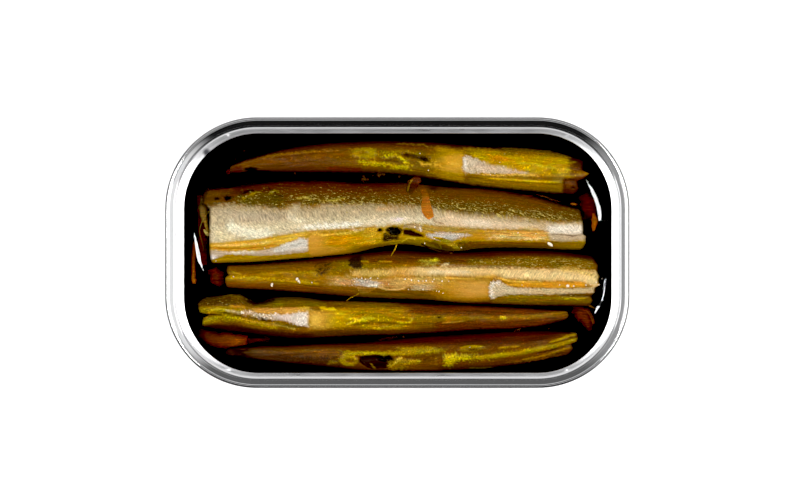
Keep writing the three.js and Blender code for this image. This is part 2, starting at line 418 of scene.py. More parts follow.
drawn_out, given, result = new_group(
    "drawn_out_marks",
    {"Place": VECTOR, "Turn": VECTOR, "Size": VECTOR, "Detail": NUMBER, "Distortion": NUMBER},
    {"Marks": NUMBER},
)
turned = add(drawn_out, "ShaderNodeMapping", Vector=given["Place"], Rotation=given["Turn"])
scaled = add(drawn_out, "ShaderNodeVectorMath", operation="DIVIDE")
drawn_out.links.new(turned.outputs[0], scaled.inputs[0])
drawn_out.links.new(given["Size"], scaled.inputs[1])
noise_marks = add(
    drawn_out,
    "ShaderNodeTexNoise",
    Vector=scaled.outputs[0],
    Scale=1.0,
    Detail=given["Detail"],
    Roughness=0.55,
    Distortion=given["Distortion"],
)
drawn_out.links.new(noise_marks.outputs["Fac"], result["Marks"])


def stretched(tree, place, turn, size_along, size_across, detail=2.0, distortion=0.0):
    """Noise drawn out along a direction, with the sizes of its marks in the place's unit."""
    return add(
        tree,
        "ShaderNodeGroup",
        node_tree=drawn_out,
        Place=place,
        Turn=(0, 0, math.radians(-turn)),
        Size=(size_along, size_across, 1.0),
        Detail=detail,
        Distortion=distortion,
    ).outputs["Marks"]


metal_marks, given, result = new_group(
    "metal_marks",
    {"Run": VECTOR, "Shade": NUMBER, "Dullness": NUMBER},
    {"Tone": COLOUR, "Roughness": NUMBER, "Relief": NUMBER},
)
rolling = stretched(metal_marks, given["Run"], 90, 1.6, 0.012, 3.0, 0.1)
clouds = stretched(metal_marks, given["Run"], 90, 0.8, 0.12, 2.0, 0.4)
shine = work_out(metal_marks, "MULTIPLY_ADD", rolling, 0.34, 0.83)
shine = work_out(metal_marks, "MULTIPLY", shine, given["Shade"])
cooler = work_out(metal_marks, "MULTIPLY", shine, 1.012)
tone = add(metal_marks, "ShaderNodeCombineColor", Red=shine, Green=shine, Blue=cooler)
metal_marks.links.new(tone.outputs[0], result["Tone"])
cloudy = work_out(metal_marks, "MULTIPLY_ADD", clouds, 0.7, 0.65)
dull = work_out(metal_marks, "MULTIPLY", cloudy, given["Dullness"])
metal_marks.links.new(dull, result["Roughness"])
scratches = work_out(metal_marks, "MULTIPLY_ADD", clouds, 0.6, rolling)
metal_marks.links.new(scratches, result["Relief"])


def metal(name, shade, roughness, brushed, scratch_depth):
    """Aluminium with rolling marks along its run, a cloudy polish and small scratches."""
    paint, tree, shader = new_paint(name)
    run = add(tree, "ShaderNodeUVMap", uv_map="run").outputs[0]
    marks = add(
        tree, "ShaderNodeGroup", node_tree=metal_marks, Run=run, Shade=shade, Dullness=roughness
    ).outputs
    tree.links.new(marks["Tone"], shader.inputs["Base Color"])
    tree.links.new(marks["Roughness"], shader.inputs["Roughness"])
    shader.inputs["Metallic"].default_value = 1.0
    shader.inputs["Anisotropic"].default_value = brushed
    across = add(tree, "ShaderNodeTangent", direction_type="UV_MAP", uv_map="run")
    tree.links.new(across.outputs[0], shader.inputs["Tangent"])
    bump = add(
        tree, "ShaderNodeBump", Strength=0.5, Distance=scratch_depth, Height=marks["Relief"]
    )
    tree.links.new(bump.outputs[0], shader.inputs["Normal"])
    return paint


map_run(tin)
tin.data.materials.append(
    metal("drawn_aluminium", shade=0.44, roughness=0.3, brushed=0.6, scratch_depth=0.000006)
)
finish_piece(tin, "tin_body")

# The lid ring is the edge of the pulled-off lid. It was rolled over the flange as a seam, it
# slopes down inside, and the narrow ledge at its foot ends in the torn score line.
SEAM_FOOT = 24.9
RING_SHEET = 0.28
LEDGE_TOP = 25.1
LEDGE_INSET = 3.85
LEDGE_START = 2.5
LEDGE_BLEND = 0.9
SHADED_SIDE_DEPTH = 0.055
ring = start_outline("lid_seam", 0.0, SEAM_FOOT, faces_up=True)
follow_profile(
    [
        (0.0, SEAM_FOOT),
        (0.0, SEAM_FOOT + 0.3),
        *round_bend((0.15, TIN_HEIGHT - 0.417), 0.15, 180, 130, 5),
        *round_bend((0.595, TIN_HEIGHT - 0.5), 0.5, 130, 59, 12),
        (1.09, TIN_HEIGHT - 0.226),
        (1.85, TIN_HEIGHT - 0.852),
        (1.98, TIN_HEIGHT - 1.9),
        (2.08, LEDGE_TOP + 0.19),
        (LEDGE_START, LEDGE_TOP + 0.06),
        (2.9, LEDGE_TOP - 0.02),
        (LEDGE_INSET - 0.2, LEDGE_TOP + 0.02),
        (LEDGE_INSET, LEDGE_TOP + 0.06),
    ],
    faces_up=True,
)
bpy.ops.mesh.delete(type="FACE")
bpy.ops.object.mode_set(mode="OBJECT")
give_thickness(ring, RING_SHEET, 0.07)

# The lid was scored a little off centre, and nearer the wall along the sides than at the ends.
OPENING_SHIFT = (0.12, -0.14)
OPENING_STRETCH = (-0.0035, 0.0123)
spots = places_of(ring)
past_start = from_outline(spots[:, 0], spots[:, 1], 0.0) - LEDGE_START
inward = np.clip(past_start / LEDGE_BLEND, 0, 1)
spots[:, 0] += (OPENING_SHIFT[0] + OPENING_STRETCH[0] * spots[:, 0]) * inward
spots[:, 1] += (OPENING_SHIFT[1] + OPENING_STRETCH[1] * spots[:, 1]) * inward
put_places(ring, spots)
map_run(ring)
for paint in (
    metal("rolled_seam", shade=0.76, roughness=0.10, brushed=0.5, scratch_depth=0.000001),
    metal("brushed_ledge", shade=0.80, roughness=0.31, brushed=0.85, scratch_depth=0.000003),
    # A darker metal for the seam's outermost sliver: painted shade.
    metal("shaded_seam_side", shade=0.48, roughness=0.24, brushed=0.6, scratch_depth=0.000003),
):
    ring.data.materials.append(paint)
for face in ring.data.polygons:
    inset = from_outline(face.center.x, face.center.y, 0.0)
    if inset > LEDGE_START:
        face.material_index = 1
    # The outermost faces take the darker metal: painted shade that gives the rim a dark outline.
    elif inset < SHADED_SIDE_DEPTH:
        face.material_index = 2

# The look of a small dent in the ledge, by the corner at the back on the left, is painted shade:
# the ledge's colour goes nearly black in a round spot, and the ledge is not shaped there.
DENT = (-0.0445, 0.0234, 0.0)
DENT_MIDDLE = 0.0003
DENT_EDGE = 0.0013
ledge_tree = ring.data.materials[1].node_tree
spot = add(ledge_tree, "ShaderNodeTexCoord").outputs["Object"]
flat_spot = add(ledge_tree, "ShaderNodeVectorMath", operation="MULTIPLY")
ledge_tree.links.new(spot, flat_spot.inputs[0])
flat_spot.inputs[1].default_value = (1.0, 1.0, 0.0)
away = add(ledge_tree, "ShaderNodeVectorMath", operation="DISTANCE")
ledge_tree.links.new(flat_spot.outputs[0], away.inputs[0])
away.inputs[1].default_value = DENT
around_dent = step_up(ledge_tree, away.outputs["Value"], DENT_MIDDLE, DENT_EDGE)
ledge_shader = ledge_tree.nodes["Principled BSDF"]
plain_tone = ledge_shader.inputs["Base Color"].links[0].from_socket
dent_shade_tone = mix_colour(ledge_tree, around_dent, (0.10, 0.10, 0.11), plain_tone)
ledge_tree.links.new(dent_shade_tone, ledge_shader.inputs["Base Color"])
finish_piece(ring, "lid_ring")

# The first garfish lies by the far wall. Like the others it is headless and cut square, and it
# was cooked in the tin, so its skin is folded, torn and stuck. It is a bar cut into rings and
# pushed into shape. Sizes are in millimetres in plan: x along the tin and y across it.
RING_STEP = 0.24
BAR_SIDES = 150
UPPER_SHARE = 0.64
SQUARENESS = 2.9
END_RINGS = 6
END_RING_WIDTH = 0.15
CUT_REACH = 0.14
TEXTURES = ("grain", "flecks", "wrinkles", "fibres")


def smooth_line(points):
    """A function that passes smoothly through (x, value) points."""
    xs = np.array([point[0] for point in points], float)
    values = np.array([point[1] for point in points], float)
    slopes = np.gradient(values, xs)

    def follow(x):
        x = np.clip(x, xs[0], xs[-1])
        i = np.clip(np.searchsorted(xs, x) - 1, 0, len(xs) - 2)
        gap = xs[i + 1] - xs[i]
        t = (x - xs[i]) / gap
        return (
            values[i] * (1 + 2 * t) * (1 - t) ** 2
            + slopes[i] * gap * t * (1 - t) ** 2
            + values[i + 1] * t * t * (3 - 2 * t)
            + slopes[i + 1] * gap * t * t * (t - 1)
        )

    return follow


def ripple(x, y, seed):
    """Smooth noise between about -1 and 1 at each point."""
    depth = seed * 7.31
    return np.array([noise.noise((a, b, depth)) for a, b in zip(x.tolist(), y.tolist())])


def soft_step(value, low, high):
    """A soft change from 0 at low to 1 at high."""
    share = np.clip((value - low) / (high - low), 0, 1)
    return share * share * (3 - 2 * share)


def clear_selection(kind):
    """Sets what is picked in the mesh, and leaves nothing picked."""
    bpy.ops.object.mode_set(mode="EDIT")
    bpy.ops.mesh.select_mode(type=kind)
    bpy.ops.mesh.select_all(action="DESELECT")
    bpy.ops.object.mode_set(mode="OBJECT")


def cut_bar(name, sides, rings):
    """A bar along X, one long and one in radius, with rings of cuts and flat ends."""
    bpy.ops.object.select_all(action="DESELECT")
    bpy.ops.mesh.primitive_cylinder_add(
        vertices=sides, radius=1.0, depth=1.0, end_fill_type="NGON", rotation=(0, math.pi / 2, 0)
    )
    bar = bpy.context.object
    bar.name = name
    bpy.ops.object.transform_apply(rotation=True)
    clear_selection("EDGE")
    for edge in bar.data.edges:
        start, end = (bar.data.vertices[i].co for i in edge.vertices)
        edge.select = abs(end.x - start.x) > 0.5
    bpy.ops.object.mode_set(mode="EDIT")
    bpy.ops.mesh.subdivide_edgering(number_cuts=rings, interpolation="LINEAR", smoothness=0.0)
    clear_selection("FACE")
    for face in bar.data.polygons:
        face.select = len(face.vertices) > 4
    bpy.ops.object.mode_set(mode="EDIT")
    for _ in range(END_RINGS):
        bpy.ops.mesh.inset(thickness=END_RING_WIDTH, use_individual=True)
    bpy.ops.object.mode_set(mode="OBJECT")
    return bar


def write_field(piece, name, values):
    """Stores one number for each vertex, for a material to read."""
    field = piece.data.attributes.new(name, "FLOAT", "POINT")
    field.data.foreach_set("value", np.asarray(values, float))


def band(points, sharp=""):
    """A strip given as (x, upper y, lower y) points. Gives millimetres inside its edge. Its
    ends fade slowly, except those named in sharp."""
    upper = smooth_line([(at, top) for at, top, _ in points])
    lower = smooth_line([(at, bottom) for at, _, bottom in points])
    left_fade = 1.0 if "left" in sharp else 4.0
    right_fade = 1.0 if "right" in sharp else 4.0

    def inside(x, y):
        ends = np.minimum((x - points[0][0]) / left_fade, (points[-1][0] - x) / right_fade)
        return np.minimum(np.minimum(upper(x) - y, y - lower(x)), ends)

    return inside


def oval(at_x, at_y, long, wide, turn=0):
    """An oval of half length and half width, turned in degrees."""
    cos, sin = math.cos(math.radians(turn)), math.sin(math.radians(turn))

    def inside(x, y):
        along = ((x - at_x) * cos + (y - at_y) * sin) / long
        aside = ((y - at_y) * cos - (x - at_x) * sin) / wide
        return (1 - np.hypot(along, aside)) * min(long, wide)

    return inside


def line(points, width):
    """A stroke through points, narrowing to its ends. Width is its half width."""

    def inside(x, y):
        nearest = np.full(len(x), np.inf)
        taper = np.zeros(len(x))
        for i, ((x0, y0), (x1, y1)) in enumerate(zip(points, points[1:])):
            run_x, run_y = x1 - x0, y1 - y0
            share = np.clip(((x - x0) * run_x + (y - y0) * run_y) / (run_x**2 + run_y**2), 0, 1)
            gap = np.hypot(x - x0 - share * run_x, y - y0 - share * run_y)
            passed = (i + share) / (len(points) - 1)
            closer = gap < nearest
            taper = np.where(closer, np.minimum(1, 8 * passed * (1 - passed) + 0.25), taper)
            nearest = np.minimum(nearest, gap)
        return width * taper - nearest

    return inside


def screen_colour(red, green, blue):
    """The colour that shows as these values out of 255 under the studio's lamps."""
    return np.array([(value / 255) ** 2.2 for value in (red, green, blue)]) * 0.74


def cut_garfish(name, stations, thickness, roll, left_end, right_end, ground, edges):
    """One fish. Stations give x, the back edge, the belly edge and the crest. Thickness is its
    height as a share of its width, and roll its lean in degrees. The ends are (y, x) lines
    where it is cut. Ground is its colour from belly, at -1, to back, at 1, and past these, down
    its sides, it goes nearly black as painted shade. Edges are how far painted shade darkens
    it in from its back and belly edges, in millimetres."""
    first, last = stations[0][0], stations[-1][0]
    bar = cut_bar(name, BAR_SIDES, int((last - first) / RING_STEP))
    unit = places_of(bar)
    share = unit[:, 0] + 0.5
    spread = np.minimum(np.hypot(unit[:, 1], unit[:, 2]), 1.0)
    from_top = np.arctan2(unit[:, 1], unit[:, 2]) / math.pi
    squeezed = np.interp(np.abs(from_top), [0.0, UPPER_SHARE, 1.0], [0.0, 0.5, 1.0])
    turn = np.sign(from_top) * squeezed * math.pi
    side, up = np.sin(turn), np.cos(turn)
    x = first + (last - first) * share
    back = smooth_line([(at, edge) for at, edge, _, _ in stations])(x)
    belly = smooth_line([(at, edge) for at, _, edge, _ in stations])(x)
    crest = smooth_line([(at, top) for at, _, _, top in stations])(x)
    middle, half = (back + belly) / 2, (back - belly) / 2
    thick = half * thickness
    rounding = 1 - 0.10 * np.exp(-np.minimum(x - first, last - x) / 0.3)
    power = 2 / SQUARENESS
    wide = half * np.sign(side) * np.abs(side) ** power * spread * rounding
    high = thick * np.sign(up) * np.abs(up) ** power * spread * rounding
    tilt = math.radians(roll)
    lift = np.hypot(half * math.sin(tilt), thick * math.cos(tilt))
    y = middle + wide * math.cos(tilt) - high * math.sin(tilt)
    z = crest - lift + wide * math.sin(tilt) + high * math.cos(tilt)
    flow = turn * half.mean()
    upper = soft_step(up, 0.0, 0.3)
    seed = abs(first)

    left_shift = np.interp(y, [at for at, _ in left_end], [cut for _, cut in left_end]) - first
    right_shift = np.interp(y, [at for at, _ in right_end], [cut for _, cut in right_end]) - last
    x = x + left_shift * soft_step(share, CUT_REACH, 0.0)
    x = x + right_shift * soft_step(share, 1 - CUT_REACH, 1.0)
    x = x + 0.1 * ripple(x * 0.3, y * 1.3, seed + 3)
    y = y + 0.18 * ripple(x * 0.15, y * 0.0, seed)
    z = z + upper * 0.13 * ripple(x * 0.15, flow * 0.8, seed + 1)
    z = z + upper * 0.05 * ripple(x * 0.6, flow * 2.6, seed + 2)

    across = np.clip((y - middle) / half, -1.2, 1.2)
    colour = np.column_stack(
        [
            np.interp(across, [at for at, _ in ground], shades)
            for shades in np.transpose([screen_colour(*tint) for _, tint in ground])
        ]
    )
    end_gap = np.minimum(share, 1 - share) * (last - first)
    ragged = ripple(x * 1.5, y * 1.9, seed + 4) + 0.6 * ripple(x * 3.9, y * 4.3, seed + 5)
    ragged = ragged + np.random.default_rng(int(seed)).uniform(-0.45, 0.45, len(x))
    # Painted shade: the colour darkens towards the back and belly edges, by the cut ends and on the
    # underside.
    edge_gap = half * (1 - np.abs(across)) + 0.3 * ragged
    edge_gap = edge_gap / np.where(across > 0, edges[0], edges[1])
    shadow = 0.14 + 0.86 * soft_step(edge_gap, -0.1, 1.0)
    shadow = shadow * (0.4 + 0.6 * soft_step(end_gap, 0, 0.6))
    return {
        "bar": bar,
        "x": x,
        "y": y,
        "z": z,
        "upper": upper,
        "flow": flow,
        "colour": colour,
        "ragged": ragged,
        "shadow": shadow * (1 - 0.6 * (1 - soft_step(up, -0.45, 0.1))),
        "grain": np.full(len(x), 0.12),
        "flecks": np.zeros(len(x)),
        "wrinkles": np.full(len(x), 0.1),
        "fibres": np.full(len(x), 0.5),
    }


def lay(fish, shape, colour=None, edge=0.35, fray=0.3, strength=1.0, lift=0.0, **texture):
    """Lays one marking on a fish: its colour, how soft and ragged its edge is, how strong it
    is, how far it stands up in millimetres, and how strong each kind of texture is in it."""
    inside = shape(fish["x"], fish["y"]) + fray * fish["ragged"]
    share = soft_step(inside, -edge / 2, edge) * fish["upper"] * strength
    if colour is not None:
        tint = screen_colour(*colour)
        fish["colour"] = fish["colour"] * (1 - share[:, None]) + tint * share[:, None]
    if lift:
        slope = soft_step(shape(fish["x"], fish["y"]), -0.15, 0.5) * fish["upper"]
        fish["z"] = fish["z"] + lift * slope
    for kind, amount in texture.items():
        fish[kind] = fish[kind] * (1 - share) + amount * share


def read_field(tree, name):
    """The number stored for each vertex under a name."""
    return add(tree, "ShaderNodeAttribute", attribute_name=name).outputs["Fac"]


def fish_skin():
    """Wet skin: its colours, fibres along the body, wrinkles with painted highlight and shade,
    gold flecks, painted glints and scale grain.
    """
    paint, tree, shader = new_paint("garfish_skin")
    place = add(tree, "ShaderNodeCombineXYZ")
    tree.links.new(read_field(tree, "along"), place.inputs[0])
    tree.links.new(read_field(tree, "flow"), place.inputs[1])
    place = place.outputs[0]
    fibres = stretched(tree, place, 0, 8.0, 0.5, 3.0, 0.3)
    threads = stretched(tree, place, 3, 2.2, 0.2, 3.0, 0.5)
    wrinkles = stretched(tree, place, -20, 0.95, 0.16, 3.0, 0.9)
    creases = stretched(tree, place, -38, 0.7, 0.2, 2.0, 0.8)
    flecks = stretched(tree, place, -9, 0.95, 0.2, 2.0, 1.2)
    grains = stretched(tree, place, 0, 0.3, 0.22, 2.0, 0.5)
    specks = stretched(tree, place, 12, 0.5, 0.2, 1.0, 0.8)
    stains = stretched(tree, place, 4, 3.2, 0.9, 3.0, 0.8)

    def swing(marks, amount, depth):
        """Marks as a light that swings round 1 by an amount."""
        around = work_out(tree, "MULTIPLY", work_out(tree, "SUBTRACT", marks, 0.5), depth)
        return work_out(tree, "ADD", work_out(tree, "MULTIPLY", around, amount), 1.0)

    colour = add(tree, "ShaderNodeAttribute", attribute_name="skin_tone").outputs["Color"]
    red_side = mix_colour(tree, 1.0, colour, (1.12, 0.84, 0.5), "MULTIPLY")
    olive_side = mix_colour(tree, 1.0, colour, (0.86, 1.04, 0.8), "MULTIPLY")
    stained = mix_colour(tree, step_up(tree, stains, 0.36, 0.64), red_side, olive_side)
    colour = mix_colour(tree, read_field(tree, "fibres"), colour, stained)
    light = swing(fibres, read_field(tree, "fibres"), 2.4)
    light = work_out(tree, "MULTIPLY", light, swing(threads, read_field(tree, "fibres"), 2.8))
    # Wrinkles and creases lighten and darken the colour: painted highlight and shade on the folds of the
    # skin.
    light = work_out(tree, "MULTIPLY", light, swing(wrinkles, read_field(tree, "wrinkles"), 1.9))
    light = work_out(tree, "MULTIPLY", light, swing(creases, read_field(tree, "wrinkles"), 1.3))
    light = work_out(tree, "MULTIPLY", light, swing(grains, read_field(tree, "grain"), 3.6))
    light = work_out(tree, "MINIMUM", work_out(tree, "MAXIMUM", light, 0.15), 1.9)
    shade = add(tree, "ShaderNodeCombineColor")
    for channel in range(3):
        tree.links.new(light, shade.inputs[channel])
    colour = mix_colour(tree, 1.0, colour, shade.outputs[0], "MULTIPLY")

    crowding = read_field(tree, "flecks")
    fleck_share = step_up(tree, work_out(tree, "MULTIPLY_ADD", crowding, 0.16, flecks), 0.69, 0.79)
    shown = work_out(tree, "MINIMUM", work_out(tree, "MULTIPLY", crowding, 4.0), 1.0)
    fleck_share = work_out(tree, "MULTIPLY", fleck_share, shown)
    colour = mix_colour(tree, fleck_share, colour, (0.50, 0.38, 0.09))
    # Specks made three times as bright are painted glints on the skin.
    speck_share = step_up(tree, specks, 0.61, 0.71)
    speck_share = work_out(tree, "MULTIPLY", speck_share, read_field(tree, "fibres"))
    glitter = mix_colour(tree, 1.0, colour, (3.0, 3.0, 3.2), "MULTIPLY")
    colour = mix_colour(tree, speck_share, colour, glitter)
    tree.links.new(colour, shader.inputs["Base Color"])
    shader.inputs["Roughness"].default_value = 0.32
    shader.inputs["Specular IOR Level"].default_value = 0.11
    shader.inputs["Specular Tint"].default_value = (1.0, 0.9, 0.7, 1.0)

    relief = work_out(tree, "MULTIPLY", wrinkles, read_field(tree, "wrinkles"))
    relief = work_out(tree, "ADD", relief, work_out(tree, "MULTIPLY", grains, read_field(tree, "grain")))
    relief = work_out(tree, "ADD", relief, work_out(tree, "MULTIPLY", threads, 0.3))
    relief = work_out(tree, "ADD", relief, work_out(tree, "MULTIPLY", fleck_share, 0.3))
    bump = add(tree, "ShaderNodeBump", Strength=0.6, Distance=0.0002, Height=relief)
    tree.links.new(bump.outputs[0], shader.inputs["Normal"])
    return paint


OIL_LEVEL = 20.4
skin = fish_skin()
fish_pieces = []
waterlines = []


def colour_piece(piece, along, flow, colour, **texture):
    """Stores what the skin material reads: its place, its colour and how strong each mark is."""
    tone = piece.data.color_attributes.new("skin_tone", "FLOAT_COLOR", "POINT")
    tint = np.column_stack([np.clip(colour, 0, 1), np.ones(len(along))])
    tone.data.foreach_set("color", tint.reshape(-1))
    write_field(piece, "along", along)
    write_field(piece, "flow", flow)
    for kind in TEXTURES:
        write_field(piece, kind, np.broadcast_to(texture.get(kind, 0.0), len(along)))
    piece.data.materials.append(skin)


def dress_garfish(fish, node):
    """Moves the bar to its shape, stores the markings for the skin, and finishes the fish."""
    bar = fish["bar"]
    put_places(bar, np.column_stack([fish["x"], fish["y"], fish["z"]]))
    marks = {kind: fish[kind] for kind in TEXTURES}
    colour_piece(bar, fish["x"], fish["flow"], fish["colour"] * fish["shadow"][:, None], **marks)
    above = fish["z"] > OIL_LEVEL
    for at in np.arange(fish["x"].min(), fish["x"].max(), 0.3):
        ring_part = above & (np.abs(fish["x"] - at) < 0.3)
        if ring_part.any():
            waterlines.append((at, fish["y"][ring_part].min(), fish["y"][ring_part].max(), node))
    fish_pieces.append(bar)
    finish_piece(bar, node, 55)


fish = cut_garfish(
    "garfish_1_skin",
    stations=[
        (-39.2, 20.6, 18.7, 20.7),
        (-37.0, 21.7, 18.6, 21.0),
        (-34.0, 22.6, 19.0, 21.3),
        (-30.0, 23.6, 18.9, 21.7),
        (-24.0, 24.9, 18.7, 22.2),
        (-16.0, 26.0, 18.7, 22.6),
        (-8.0, 26.5, 18.6, 22.9),
        (0.0, 26.6, 18.2, 23.1),
        (8.0, 26.4, 17.1, 23.2),
        (16.0, 25.7, 15.8, 23.2),
        (24.0, 25.0, 14.9, 23.1),
        (32.0, 24.6, 14.2, 22.9),
        (38.0, 23.9, 13.6, 22.7),
        (44.0, 22.4, 13.4, 22.3),
    ],
    thickness=0.8,
    roll=-6,
    left_end=[(18, -39.3), (20, -39.3), (23, -37.5)],
    right_end=[
        (13.5, 41.8), (15, 42.6), (16.8, 42.2), (17.4, 43.8), (18.6, 45.2), (19.4, 43.4), (21.5, 43.8),
        (24, 41.5),
    ],
    ground=[
        (-1.15, (20, 6, 1)),
        (-0.9, (80, 48, 2)),
        (-0.55, (120, 82, 3)),
        (0.2, (128, 88, 4)),
        (0.6, (92, 54, 3)),
        (0.9, (48, 20, 2)),
        (1.15, (12, 4, 1)),
    ],
    edges=(0.9, 0.6),
)
lay(fish, band([(-40, 27, 17), (-30, 27, 17), (-20, 27, 17), (-11, 27, 17)]), (84, 44, 3), 3.0, 0.5, 0.8)
lay(fish, oval(-37.6, 19.5, 1.9, 1.0), (76, 10, 2), 0.5, 0.3, 0.9, fibres=0.2)
# A near-black pit sunk into the skin: painted shade in it.
lay(fish, oval(-34.4, 19.5, 1.6, 0.6), (5, 2, 1), 0.3, 0.2, 1.0, -0.6)
lay(fish, line([(-33, 22.0), (-28, 22.9), (-20, 23.7), (-14, 24.0)], 0.35),
    (140, 98, 24), 0.3, 0.3, 0.8, grain=0.9)
lay(fish, line([(-36, 21.2), (-26, 21.6), (-16, 22.6), (-11, 22.8)], 0.6), (122, 74, 4), 0.6, 0.3, 0.7)
lay(fish, line([(-17, 19.8), (-12, 19.7), (-8, 19.5)], 0.5), (98, 34, 2), 0.5, 0.3, 0.8)
lay(fish, band([(-5, 24.6, 18.9), (2, 24.2, 18.4), (9, 24.0, 17.8)]),
    (112, 86, 3), 1.0, 0.4, 0.8, grain=0.3)
lay(fish, band([(-10.6, 24.3, 22.6), (-8, 24.6, 22.0), (-5.0, 24.4, 22.0)], "right"),
    (162, 134, 3), 0.5, 0.3, 0.95, 0.12, fibres=0.4)
lay(fish, oval(-7.9, 23.4, 1.2, 0.42, -4), (104, 64, 2), 0.5, 0.2, 0.9, -0.25)
lay(fish, line([(-9.5, 21.3), (-6.5, 21.0), (-4, 20.8), (-2, 20.6), (0, 20.1), (1.6, 20.1),
    (3.2, 19.5)], 0.5), (186, 164, 16), 0.35, 0.5, 0.9, 0.1, grain=1.0)
lay(fish, line([(-3.6, 22.3), (-1.8, 22.5), (-0.3, 23.0), (0.5, 22.3), (1.7, 21.7), (2.3, 21.0),
    (3.4, 20.5)], 0.45), (194, 172, 16), 0.4, 0.55, 0.9, 0.15, grain=1.0)
lay(fish, line([(-4.6, 23.2), (-2, 23.6), (1.2, 23.7), (3.2, 23.3), (5.4, 23.0)], 0.28),
    (150, 126, 12), 0.4, 0.45, 0.8, grain=0.9)
lay(fish, line([(0, 25.4), (2, 25.5), (4, 25.3), (6, 25.3), (7.4, 24.8)], 0.2),
    (150, 112, 44), 0.3, 0.3, 0.8, grain=1.0)
lay(fish, line([(-3, 21.6), (-1.2, 21.6), (0.4, 21.1)], 0.35), (84, 52, 2), 0.3, 0.3, 0.8)
lay(fish, line([(1.2, 23.0), (3.2, 22.7), (5.2, 22.3), (8.0, 21.7)], 0.5),
    (58, 32, 2), 0.35, 0.2, 1.0, -0.35)
# A near-black slit sunk into the skin: painted shade in it.
lay(fish, oval(6.4, 21.8, 1.3, 0.42, -8), (2, 1, 0), 0.3, 0.1, 1.0, -0.7)
lay(fish, band([(8.2, 24.8, 18.0), (11, 24.9, 17.2), (13.4, 24.4, 16.9), (15.8, 24.0, 16.4)], "right"),
    (164, 126, 3), 0.8, 0.3, 1.0, fibres=0.3)
lay(fish, line([(5, 21.2), (6.2, 20.6), (7.6, 20.8), (8.6, 20.8), (10.4, 20.2)], 0.36),
    (228, 176, 46), 0.4, 0.3, 0.9, grain=0.4)
lay(fish, band([(9.5, 22.0, 19.4), (12, 22.9, 18.9), (15.8, 23.2, 18.7)], "right"),
    (214, 158, 48), 1.4, 0.35, 0.95, fibres=0.2, grain=0.05)
lay(fish, line([(12.4, 20.7), (14.8, 20.7)], 0.25), (238, 184, 66), 0.4, 0.2, 0.9)
lay(fish, band([(15.6, 16.9, 15.8), (20, 18.3, 15.6), (28, 17.9, 14.6), (39, 17.6, 14.0)], "right"),
    (144, 110, 3), 0.8, 0.3, 0.8)
lay(fish, band([(16, 24.6, 18.3), (24, 24.2, 18.2), (32, 24.0, 17.8), (40.5, 23.0, 17.6)], "right"),
    (184, 146, 6), 0.9, 0.3, 0.9)
lay(fish, band([(18.0, 23.7, 22.2), (20.6, 23.4, 21.8), (24, 23.1, 21.4)]),
    (176, 146, 8), 0.4, 0.3, 0.9, grain=0.9)
lay(fish, band([(20.8, 23.2, 21.8), (24, 22.8, 21.4), (27.4, 21.9, 21.2)]),
    (196, 132, 10), 0.5, 0.2, 0.9, grain=0.5)
lay(fish, band([(24, 25.0, 22.8), (30, 25.0, 22.6), (36, 24.2, 22.4), (40.5, 23.0, 21.9)], "right"),
    (118, 86, 5), 0.5, 0.4, 0.9, flecks=0.6, grain=0.7)
lay(fish, band([(15.3, 22.3, 18.9), (16.6, 22.6, 18.7), (18.4, 22.0, 18.6), (21, 21.0, 18.5),
    (25, 19.9, 18.4), (30.4, 18.8, 18.1)], "left"),
    (216, 192, 162), 0.3, 0.4, 1.0, 0.15, grain=0.45, wrinkles=0.5, fibres=0.2)
lay(fish, oval(15.9, 20.6, 0.4, 1.7), (244, 232, 216), 0.4, 0.2, 0.9, grain=0.6)
lay(fish, oval(17.6, 19.6, 1.3, 0.5, -20), (176, 150, 116), 0.5, 0.3, 0.7, grain=0.8)
lay(fish, band([(19.5, 21.2, 18.9), (24, 20.3, 18.6), (31, 18.7, 18.2)]), (202, 160, 122), 1.2, 0.2, 0.6)
lay(fish, line([(19, 18.3), (24, 18.1), (28, 18.3), (33, 18.0)], 0.28),
    (224, 172, 62), 0.3, 0.25, 0.9, grain=0.9)
lay(fish, line([(21, 17.4), (26, 17.1), (30, 16.8), (34, 16.6), (38.8, 16.5)], 0.24),
    (216, 178, 22), 0.25, 0.1, 0.95, 0.05, grain=0.4)
lay(fish, line([(27, 21.2), (32, 20.8), (35, 20.1), (38, 19.7), (40.8, 19.4)], 0.28),
    (212, 180, 28), 0.3, 0.15, 0.9, 0.05, grain=0.5)
lay(fish, line([(35, 20.7), (40, 21.0), (42.2, 21.3)], 0.24), (196, 164, 20), 0.3, 0.15, 0.8, grain=0.4)
lay(fish, line([(31, 22.3), (35, 21.6), (39, 21.5)], 0.2), (184, 150, 16), 0.3, 0.2, 0.7)
lay(fish, line([(30, 19.6), (36, 18.6), (41, 17.9), (44.8, 18.6)], 0.24),
    (170, 142, 16), 0.3, 0.15, 0.8, 0.05)
lay(fish, line([(33, 17.4), (38, 17.4), (41, 17.5)], 0.3), (106, 78, 4), 0.4, 0.2, 0.8, -0.15)
lay(fish, band([(38.8, 17.2, 13.4), (40.5, 17.4, 13.3), (43.6, 17.4, 13.6)], "left right"),
    (82, 44, 6), 0.35, 0.3, 1.0, -0.5, grain=0.5)
# A near-black pit: painted shade in it.
lay(fish, oval(41.2, 15.2, 0.5, 0.4), (22, 8, 2), 0.4, 0.2, 0.9, -0.3)
lay(fish, oval(40.2, 15.9, 0.7, 0.9, 60), (116, 72, 14), 0.5, 0.3, 0.7, grain=0.6)
lay(fish, band([(40.8, 21.8, 18.9), (42.4, 21.8, 19.0), (44.4, 21.2, 19.2)], "right"),
    (72, 34, 3), 0.7, 0.3, 0.9, grain=0.5)
lay(fish, band([(41.0, 18.0, 16.6), (43, 18.2, 16.8), (45.4, 18.2, 16.8)], "right"),
    (88, 42, 3), 0.5, 0.2, 0.8)
dress_garfish(fish, "garfish_1")

